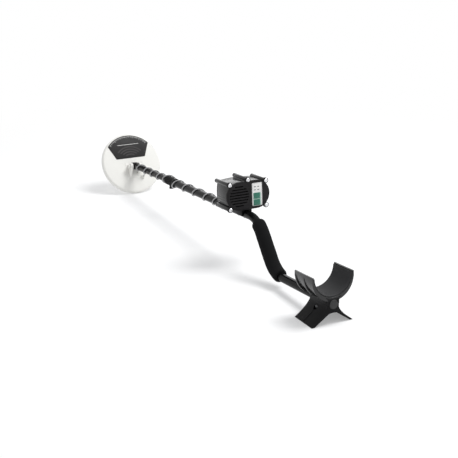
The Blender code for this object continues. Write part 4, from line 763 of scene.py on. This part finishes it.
def wrap_points(start, end):
    """Centres of the wound cable, close together along the stem."""
    count = round((end - start) / WRAP_STEP)
    return [wrap_point(start + (end - start) * step / count) for step in range(count + 1)]


def smooth_route(points, steps=10):
    """Points on a smooth curve through the given ones."""
    chain = [2 * points[0] - points[1]] + points + [2 * points[-1] - points[-2]]
    route = []
    for a, b, c, d in zip(chain, chain[1:], chain[2:], chain[3:]):
        for step in range(steps):
            t = step / steps
            route.append(0.5 * (2 * b + (c - a) * t + (2 * a - 5 * b + 4 * c - d) * t ** 2
                                + (3 * b - a - 3 * c + d) * t ** 3))
    return route + [points[-1]]


def cable(name, points, node, body=None):
    """A length of the cable in place of a CAD node."""
    shape = add_sweep(bmesh.new(), points, [CABLE_RADIUS] * len(points), 20)
    sheath = part(name, mesh_of(name, shape), cable_look, stem_place, body, 60)
    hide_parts(node)
    return sheath


to_stem = stem_place.inverted() @ coil_place
gland_foot = Vector((0.034, 0.026, HALF_COIL + 0.0003 - DISC_DROP))
lead_end = wrap_point(WRAP_START)
start_heading = (wrap_point(WRAP_START + 0.0005) - lead_end).normalized()
lead_points = [to_stem @ (gland_foot + Vector(step)) for step in (
    (0, 0, 0.003), (0, 0, 0.011), (-0.008, -0.003, 0.026))]
lead_points += [lead_end - start_heading * 0.01, lead_end - start_heading * 0.003, lead_end]
cable_lead = cable("cable_lead", smooth_route(lead_points), "coil_cable_lead")
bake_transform(cable_lead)
cable("cable_lower", wrap_points(WRAP_START, BRIDGE_START), "coil_cable_lower", "lower")
cable_bridge = cable("cable_bridge", wrap_points(BRIDGE_START, BRIDGE_END), "coil_cable_bridge")
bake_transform(cable_bridge)


# ------------------------ box case
# Extruded gloss black ABS case, open at both ends, with a rounded column for a long bolt at each
# corner and one on top. A thin rubber gasket seals it to the front face.

BOX_STATION = 0.77
BOX_HEIGHT = 0.052
UPRIGHT = Matrix(((0, 0, 1, 0), (1, 0, 0, 0), (0, 1, 0, 0), (0, 0, 0, 1)))
box_place = stem_place @ Matrix.Translation((BOX_STATION, 0, BOX_HEIGHT)) @ UPRIGHT
CASE_FRONT = -0.0076
CASE_LENGTH = 0.063
CASE_HALF_WIDTH = 0.0495
CASE_BULGE = 0.003
COLUMNS = ((-0.052, 0.032), (0.0, 0.04), (0.052, 0.032), (0.052, -0.032), (-0.052, -0.032))
case_look = surface("gloss_case", (0.0055, 0.0055, 0.006), (0.008, 0.008, 0.0085), (0.16, 0.26),
                    (450.0, 0.9), 0.00007, (0.06, 0.06, 0.063), 0.3, coat=0.12, specular=0.25)


def corner_arcs(centre, half_width, half_height, corner, steps):
    """The four corner arcs of a rectangle with round corners."""
    arcs = []
    for quarter, (side, level) in enumerate(((1, 1), (-1, 1), (-1, -1), (1, -1))):
        middle = (centre[0] + side * (half_width - corner), centre[1] + level * (half_height - corner))
        arcs.append(arc(middle, corner, quarter * 90, quarter * 90 + 90, steps))
    return arcs


def swelled(half_width, half_height, corner, bulge, steps=16):
    """A rectangle with round corners whose four sides bow outwards."""
    corners = corner_arcs((0.0, 0.0), half_width, half_height, corner, 5)
    outline = []
    for index, corner_points in enumerate(corners):
        outline += corner_points
        start = Vector(corner_points[-1])
        run = Vector(corners[(index + 1) % 4][0]) - start
        outward = Vector((run.y, -run.x)).normalized()
        for step in range(1, steps):
            share = step / steps
            bow = bulge * (1 - (2 * share - 1) ** 2)
            outline.append(tuple(start + run * share + outward * bow))
    return outline


case_outer = swelled(CASE_HALF_WIDTH, 0.032, 0.004, CASE_BULGE)
case_inner = swelled(0.047, 0.0295, 0.0015, CASE_BULGE)
case_middle = Matrix.Translation((0, 0, CASE_FRONT - CASE_LENGTH / 2))
case_pieces = [(slab("case_wall", [case_outer, case_inner], CASE_LENGTH, 0.0005), case_middle)]
for column_side, column_level in COLUMNS:
    column = slab("column", [arc((column_side, column_level), 0.0055, 0, 351, 39)], CASE_LENGTH, 0.0005)
    case_pieces.append((column, case_middle))
top_web = slab("top_web", [[(-0.0062, 0.0335), (0.0062, 0.0335), (0.005, 0.0388), (-0.005, 0.0388)]],
               CASE_LENGTH, 0.0005)
case_pieces.append((top_web, case_middle))
for rib_level in (-0.02, -0.0135, -0.007):
    for side in (-1, 1):
        reach = CASE_HALF_WIDTH + CASE_BULGE * (1 - (rib_level / 0.028) ** 2)
        root, crest = side * (reach - 0.001), side * (reach + 0.0004)
        ridge_face = [(root, rib_level - 0.0006), (root, rib_level + 0.0006),
                      (crest, rib_level + 0.0004), (crest, rib_level - 0.0004)]
        case_pieces.append((slab("ridge", [ridge_face], CASE_LENGTH - 0.004), case_middle))
case_mesh = joined("case_skin", case_pieces)
case_skin = part("case_skin", case_mesh, case_look, box_place, "handle")
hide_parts("box_body")
carry("face_gasket", rubber_look)
carry("box_rear_plate", case_look, 0.0006)


# ------------------------ inside the box
# Glass-epoxy boards with green mask, two push switches, two nine-volt batteries and a small
# loudspeaker with a black paper cone, all behind the front face.

board_look = surface("solder_mask", (0.015, 0.11, 0.035), (0.02, 0.15, 0.05), (0.3, 0.45), (1800.0, 0.8),
                     0.00008)
battery_look = surface("battery_sleeve", (0.07, 0.07, 0.09), (0.1, 0.1, 0.13), (0.2, 0.35),
                       (300.0, 0.3), 0.00004, (0.35, 0.35, 0.36), 0.5)
zinc_look = surface("zinc_plate", (0.5, 0.51, 0.53), (0.6, 0.6, 0.6), (0.24, 0.38), (1200.0, 0.6),
                    0.00005, (0.75, 0.75, 0.75), 0.4, metallic=1.0)
cone_look = surface("paper_cone", (0.018, 0.018, 0.018), (0.028, 0.028, 0.027), (0.8, 0.95),
                    (2500.0, 1.0), 0.0001, specular=0.2, sheen=0.15)
for board_name in ("circuit_board", "keypad_board"):
    carry(board_name, board_look, 0.0003)
for switch_name in ("pad_switch_upper", "pad_switch_lower"):
    carry(switch_name, moulded_look)
for cell_name in ("battery_near", "battery_far"):
    carry(cell_name, battery_look)
carry("speaker_frame", moulded_look, smooth=50)
carry("speaker_cone", cone_look, smooth=50)


# ------------------------ box face
# Charcoal moulded front face with five screw lobes and a slotted grille over the loudspeaker.
# Five chromed bolts with domed, slotted heads hold it to the rear plate.

face_look = surface("charcoal_face", (0.012, 0.0112, 0.012), (0.017, 0.016, 0.017), (0.46, 0.6),
                    (1000.0, 1.0), 0.00012, (0.07, 0.068, 0.07), 0.5, specular=0.12)
chrome_look = surface("chrome", (0.72, 0.73, 0.75), (0.8, 0.8, 0.81), (0.07, 0.16), (250.0, 0.4),
                      0.00002, metallic=1.0)
carry("box_face", face_look, 0.0006)
seat_edge = rounded([(0.0, 0.0009), (0.0066, 0.0009), (0.0071, -0.0004)], 0.0004)
lobe_pieces = []
for column_side, column_level in COLUMNS:
    seat_at = Matrix.Translation((column_side, column_level, -0.0006))
    lobe_pieces.append((turned("seat", seat_edge, 40, seat_at), Matrix()))
part("screw_seats", joined("screw_seats", lobe_pieces), face_look, box_place,
     "handle")
for bolt in range(1, 6):
    carry(f"face_bolt_{bolt}", chrome_look, 0.00025)


# ------------------------ control panel
# White printed film with rounded corners beside the grille. Its upper part has four small plain
# marks, and below them are two green touch pads in a paler green field.

panel_white = surface("panel_white", (0.8, 0.79, 0.78), (0.75, 0.74, 0.73), (0.28, 0.4), (1500.0, 0.3),
                      0.00002, (0.55, 0.54, 0.52), 0.3)
panel_pale = surface("panel_pale_green", (0.36, 0.52, 0.45), (0.32, 0.48, 0.41), (0.28, 0.4),
                     (1500.0, 0.3), 0.00002)
pad_green = surface("pad_green", (0.012, 0.135, 0.088), (0.018, 0.155, 0.102), (0.24, 0.36),
                    (1200.0, 0.4), 0.00003, (0.1, 0.26, 0.2), 0.4)
mark_dark = surface("panel_mark", (0.035, 0.05, 0.05), (0.045, 0.06, 0.06), (0.3, 0.42), (1500.0, 0.3),
                    0.00002)
PANEL_AT = (0.025, 0.0)
PAD_SIDE = 0.0235
PAD_LEVELS = (-0.0038, -0.021)
PRINT_THICK = 0.00008


def panel_shape(centre, half_width, half_height, corner):
    """Rounded rectangle of the printed film."""
    return sum(corner_arcs(centre, half_width, half_height, corner, 6), [])


windows = [panel_shape((PAD_SIDE, level), 0.0095, 0.0076, 0.0003) for level in PAD_LEVELS]
panel_mesh = slab("panel_skin", [panel_shape(PANEL_AT, 0.0146, 0.03, 0.003)] + windows, 0.001, 0.0003)
panel_place = box_place @ Matrix.Translation((0, 0, 0.0008))
panel_skin = part("panel_skin", panel_mesh, panel_white, panel_place, "handle")
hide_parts("control_panel")
on_film = Matrix.Translation((0, 0, 0.00052))
field = panel_shape((PAD_SIDE + 0.001, -0.0125), 0.0112, 0.0171, 0.0012)
field_mesh = joined("panel_field", [(slab("field", [field] + windows, PRINT_THICK), on_film)])
part("panel_field", field_mesh, panel_pale, panel_place, "handle")
mark_pieces = []
for mark_side in (0.0185, 0.0285):
    for mark_level in (0.012, 0.02):
        mark = panel_shape((mark_side, mark_level), 0.003, 0.0009, 0.0004)
        mark_pieces.append((slab("mark", [mark], PRINT_THICK), on_film))
rim_line = [panel_shape(PANEL_AT, 0.0138, 0.029, 0.0022), panel_shape(PANEL_AT, 0.0134, 0.0286, 0.002)]
mark_pieces.append((slab("rim_line", rim_line, PRINT_THICK), on_film))
part("panel_marks", joined("panel_marks", mark_pieces), mark_dark, panel_place, "handle")
carry("touch_pad_upper", pad_green, 0.0003)
carry("touch_pad_lower", pad_green, 0.0003)


# ------------------------ box fittings
# Ribbed cable gland and headphone socket in the rear plate, and the moulded saddle that two
# plated screws pull against the upper tube. The cable ends in the gland.

GLAND_SIDE = -0.036
GLAND_LEVEL = -0.019
GLAND_BACK = -0.0752
gland_edge = [(0.0021, 0.01)]
for rib in range(5):
    rib_base = 0.009 - rib * 0.0015
    rib_reach = 0.004 + rib * 0.00052
    gland_edge += [(rib_reach, rib_base), (rib_reach, rib_base - 0.0008),
                   (rib_reach - 0.0006, rib_base - 0.001), (rib_reach - 0.0006, rib_base - 0.0014)]
gland_edge += [(0.0066, 0.0016), (0.0066, 0.0), (0.0021, 0.0)]
gland_place = box_place @ Matrix.Translation((GLAND_SIDE, GLAND_LEVEL, GLAND_BACK))
gland_place = gland_place @ Matrix.Rotation(math.pi, 4, "Y")
box_gland = part("box_gland", turned("box_gland", gland_edge, 40), moulded_look, gland_place,
                 "handle")
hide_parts("box_cable_gland")
carry("headphone_socket", moulded_look, 0.0004)
carry("box_saddle", moulded_look, 0.0005)
carry("saddle_screw_front", zinc_look, 0.0003)
carry("saddle_screw_rear", zinc_look, 0.0003)
gland_face = Vector((BOX_STATION + GLAND_BACK - 0.009, GLAND_SIDE, BOX_HEIGHT + GLAND_LEVEL))
climb = smooth_route([wrap_point(WRAP_END), wrap_point(WRAP_END) + Vector((0.013, -0.012, 0.006)),
                      gland_face + Vector((-0.012, 0.002, -0.006)), gland_face + Vector((-0.003, 0, 0))])
upper_route = wrap_points(BRIDGE_END, WRAP_END)[:-1] + climb + [gland_face + Vector((0.006, 0, 0))]
cable("cable_upper", upper_route, "coil_cable_upper", "handle")


# ------------------------ arm cup
# Black nylon trough for the forearm with three ribs round its outside, which taper to its rims,
# and a block that sits on the upper tube. A thin foam sheet is glued inside it.

REAR_AT = Vector((1.119, 0, -STEM_DROP))
CUP_LENGTH = 0.076
CUP_RADIUS = 0.055
CUP_HEIGHT = 0.069
CUP_AXIS = (0.0, CUP_HEIGHT)
CHEEK = 0.0155
TUBE_SEAT = 0.0113
rear_place = stem_place @ Matrix.Translation(REAR_AT) @ UPRIGHT
cup_look = surface("cup_nylon", (0.0095, 0.0095, 0.01), (0.0145, 0.0145, 0.015), (0.24, 0.34),
                   (900.0, 0.9), 0.00006, (0.07, 0.07, 0.073), 0.45, specular=0.45)
cup_wall = arc(CUP_AXIS, CUP_RADIUS, -182, 2, 76) + arc(CUP_AXIS, 0.0515, 2, -182, 76)
cup_pieces = [(slab("cup_wall", [cup_wall], CUP_LENGTH, 0.0008, 3), Matrix())]
rib_face = arc(CUP_AXIS, 0.054, -182, 2, 64)
rib_face += arc((0.0, CUP_HEIGHT - 0.007), CUP_RADIUS, -0.3, -179.7, 64)
for rib_at in (-0.0355, 0.0, 0.0355):
    rib = slab("cup_rib", [rib_face], 0.005, 0.0008, 2)
    cup_pieces.append((rib, Matrix.Translation((0, 0, rib_at))))
climb_to = CUP_HEIGHT - math.sqrt(0.054 ** 2 - 0.0245 ** 2)
block_side = [(CHEEK, 0.0002), (CHEEK, 0.0105), (0.0185, 0.0152), (0.0245, climb_to), (0.012, 0.0163)]
block_face = [(-CHEEK, 0.0002)] + arc((0, 0), TUBE_SEAT, 179, 1, 24) + block_side
block_face += [(0.0, 0.015)] + [(-x, y) for x, y in block_side[:0:-1]]
block_pieces = [(slab("cup_block", [block_face], CUP_LENGTH, 0.0006), Matrix())]
stud_edge = rounded([(0.0, 0.0016), (0.0024, 0.0014), (0.003, -0.001)], 0.0006)
for side in (-1, 1):
    for stud_at in (-0.03, 0.03):
        stud_place = Matrix.Translation((side * 0.0153, 0.0062, stud_at))
        stud_place = stud_place @ Matrix.Rotation(side * math.pi / 2, 4, "Y")
        block_pieces.append((turned("stud", stud_edge, 24, stud_place), Matrix()))
cup_skin = part("cup_skin", joined("cup_skin", cup_pieces), cup_look, rear_place,
                "handle")
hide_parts("arm_cup")
block_skin = part("block_skin", joined("block_skin", block_pieces), moulded_look, rear_place,
                  "handle")
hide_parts("arm_cup")
lining_look = surface("cup_foam", (0.03, 0.03, 0.031), (0.04, 0.04, 0.041), (0.8, 0.95),
                      (1500.0, 1.0), 0.0002, (0.07, 0.07, 0.07), 0.4, specular=0.15, sheen=0.06)
lining_face = arc(CUP_AXIS, 0.0512, -178, -2, 72) + arc(CUP_AXIS, 0.0487, -2, -178, 72)
lining_mesh = slab("cup_lining", [lining_face], CUP_LENGTH - 0.002, 0.001, 3)
cup_lining = part("cup_lining", lining_mesh, lining_look, rear_place, "handle")
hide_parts("arm_cup_pad")


# ------------------------ stand
# One nylon moulding clamped under the tube: two splayed legs with level feet, a thin rib down the
# middle of each leg and a round seat for the cross bolt in each cheek. A second bolt goes upwards.

STAND_LENGTH = 0.074
HALF_FEET = 0.0555
TOE_WIDTH = 0.00765
RIB_AT = -0.004
rear_middle = stem_place @ REAR_AT
ground_place = Matrix.Translation((rear_middle.x, 0, 0)) @ UPRIGHT
stand_look = surface("stand_nylon", (0.0032, 0.0032, 0.0036), (0.005, 0.005, 0.0054), (0.34, 0.48),
                     (900.0, 0.9), 0.00008, (0.05, 0.05, 0.053), 0.6, specular=0.1)


def flank(share, proud=0.0):
    """Point (y, z) on a leg's outer side, from its cheek at 0 to its foot at 1."""
    start = Vector((CHEEK, rear_middle.z - 0.006))
    bend = Vector((0.022, rear_middle.z - 0.0225))
    foot = Vector((HALF_FEET, 0.0))
    spot = (1 - share) ** 2 * start + 2 * share * (1 - share) * bend + share ** 2 * foot
    along = 2 * (1 - share) * (bend - start) + 2 * share * (foot - bend)
    out = Vector((-along.y, along.x)).normalized() * -1
    spot += out * -proud if out.x < 0 else out * proud
    return (spot.x, spot.y)


roof = rear_middle.z - UPPER_RADIUS - 0.0135 + 0.006
right_side = [(CHEEK, rear_middle.z + 0.004)] + [flank(step / 24) for step in range(25)]
right_side += [(HALF_FEET - TOE_WIDTH, 0.0), (0.01, roof - 0.001)]
stand_face = right_side + [(0.0, roof)] + [(-y, z) for y, z in right_side[::-1]]


def carved(mesh, place, cutters):
    """The mesh with closed cutter meshes taken out of it, all in world space."""
    holder = stand_in_scene("carved", mesh)
    holder.matrix_world = place
    tools = []
    for cutter_mesh, cutter_place in cutters:
        tool = stand_in_scene("cutter", cutter_mesh)
        tool.matrix_world = cutter_place
        tools.append(tool)
        cut = holder.modifiers.new("cut", "BOOLEAN")
        cut.operation = "DIFFERENCE"
        cut.object = tool
    bpy.context.view_layer.update()
    graph = bpy.context.evaluated_depsgraph_get()
    made = bpy.data.meshes.new_from_object(holder.evaluated_get(graph))
    for used in tools + [holder]:
        bpy.data.objects.remove(used)
    return made


def brick(name, size):
    """Mesh of a plain cutter box."""
    shape = bmesh.new()
    bmesh.ops.create_cube(shape, size=1.0)
    bmesh.ops.scale(shape, vec=size, verts=shape.verts)
    return mesh_of(name, shape)


def plug(name, radius, half_length, steps):
    """Mesh of a plain round cutter about Z."""
    edge = [(0.0, half_length), (radius, half_length), (radius, -half_length), (0.0, -half_length)]
    return turned(name, edge, steps)


stand_cutters = [
    (plug("channel", TUBE_SEAT, 0.1, 48), rear_place),
    (brick("lid", (0.08, 0.02, 0.2)), rear_place @ Matrix.Translation((0, 0.01 - 0.00015, 0))),
]
for side in (-1, 1):
    spot_place = rear_place @ Matrix.Translation((side * 0.0317, -0.0145, RIB_AT))
    spot_place = spot_place @ Matrix.Rotation(math.pi / 2, 4, "Y")
    stand_cutters.append((plug("spot", 0.0062, 0.015, 32), spot_place))
stand_mesh = carved(slab("stand_body", [stand_face], STAND_LENGTH, 0.0008, 2), ground_place, stand_cutters)
stand_pieces = [(stand_mesh, Matrix())]
for side in (-1, 1):
    outer = [flank(0.45 + 0.53 * step / 16, 0.0009) for step in range(17)]
    inner = [flank(0.98 - 0.53 * step / 16, -0.0008) for step in range(17)]
    leg_rib = slab("leg_rib", [[(side * y, z) for y, z in outer + inner]], 0.0016, 0.0003)
    stand_pieces.append((leg_rib, Matrix.Translation((0, 0, RIB_AT))))
stand_skin = part("stand_skin", joined("stand_skin", stand_pieces), stand_look, ground_place,
                  "handle", 30)
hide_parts("arm_stand")
carry("cup_bolt", zinc_look, 0.0004)
carry("cup_nut", zinc_look, 0.0004)
oxide_look = surface("black_oxide", (0.06, 0.06, 0.062), (0.085, 0.085, 0.088), (0.32, 0.45),
                     (900.0, 0.6), 0.00004, (0.2, 0.2, 0.2), 0.5, metallic=1.0)
carry("stand_bolt", oxide_look, 0.0003)
carry("stand_nut", oxide_look, 0.0003)
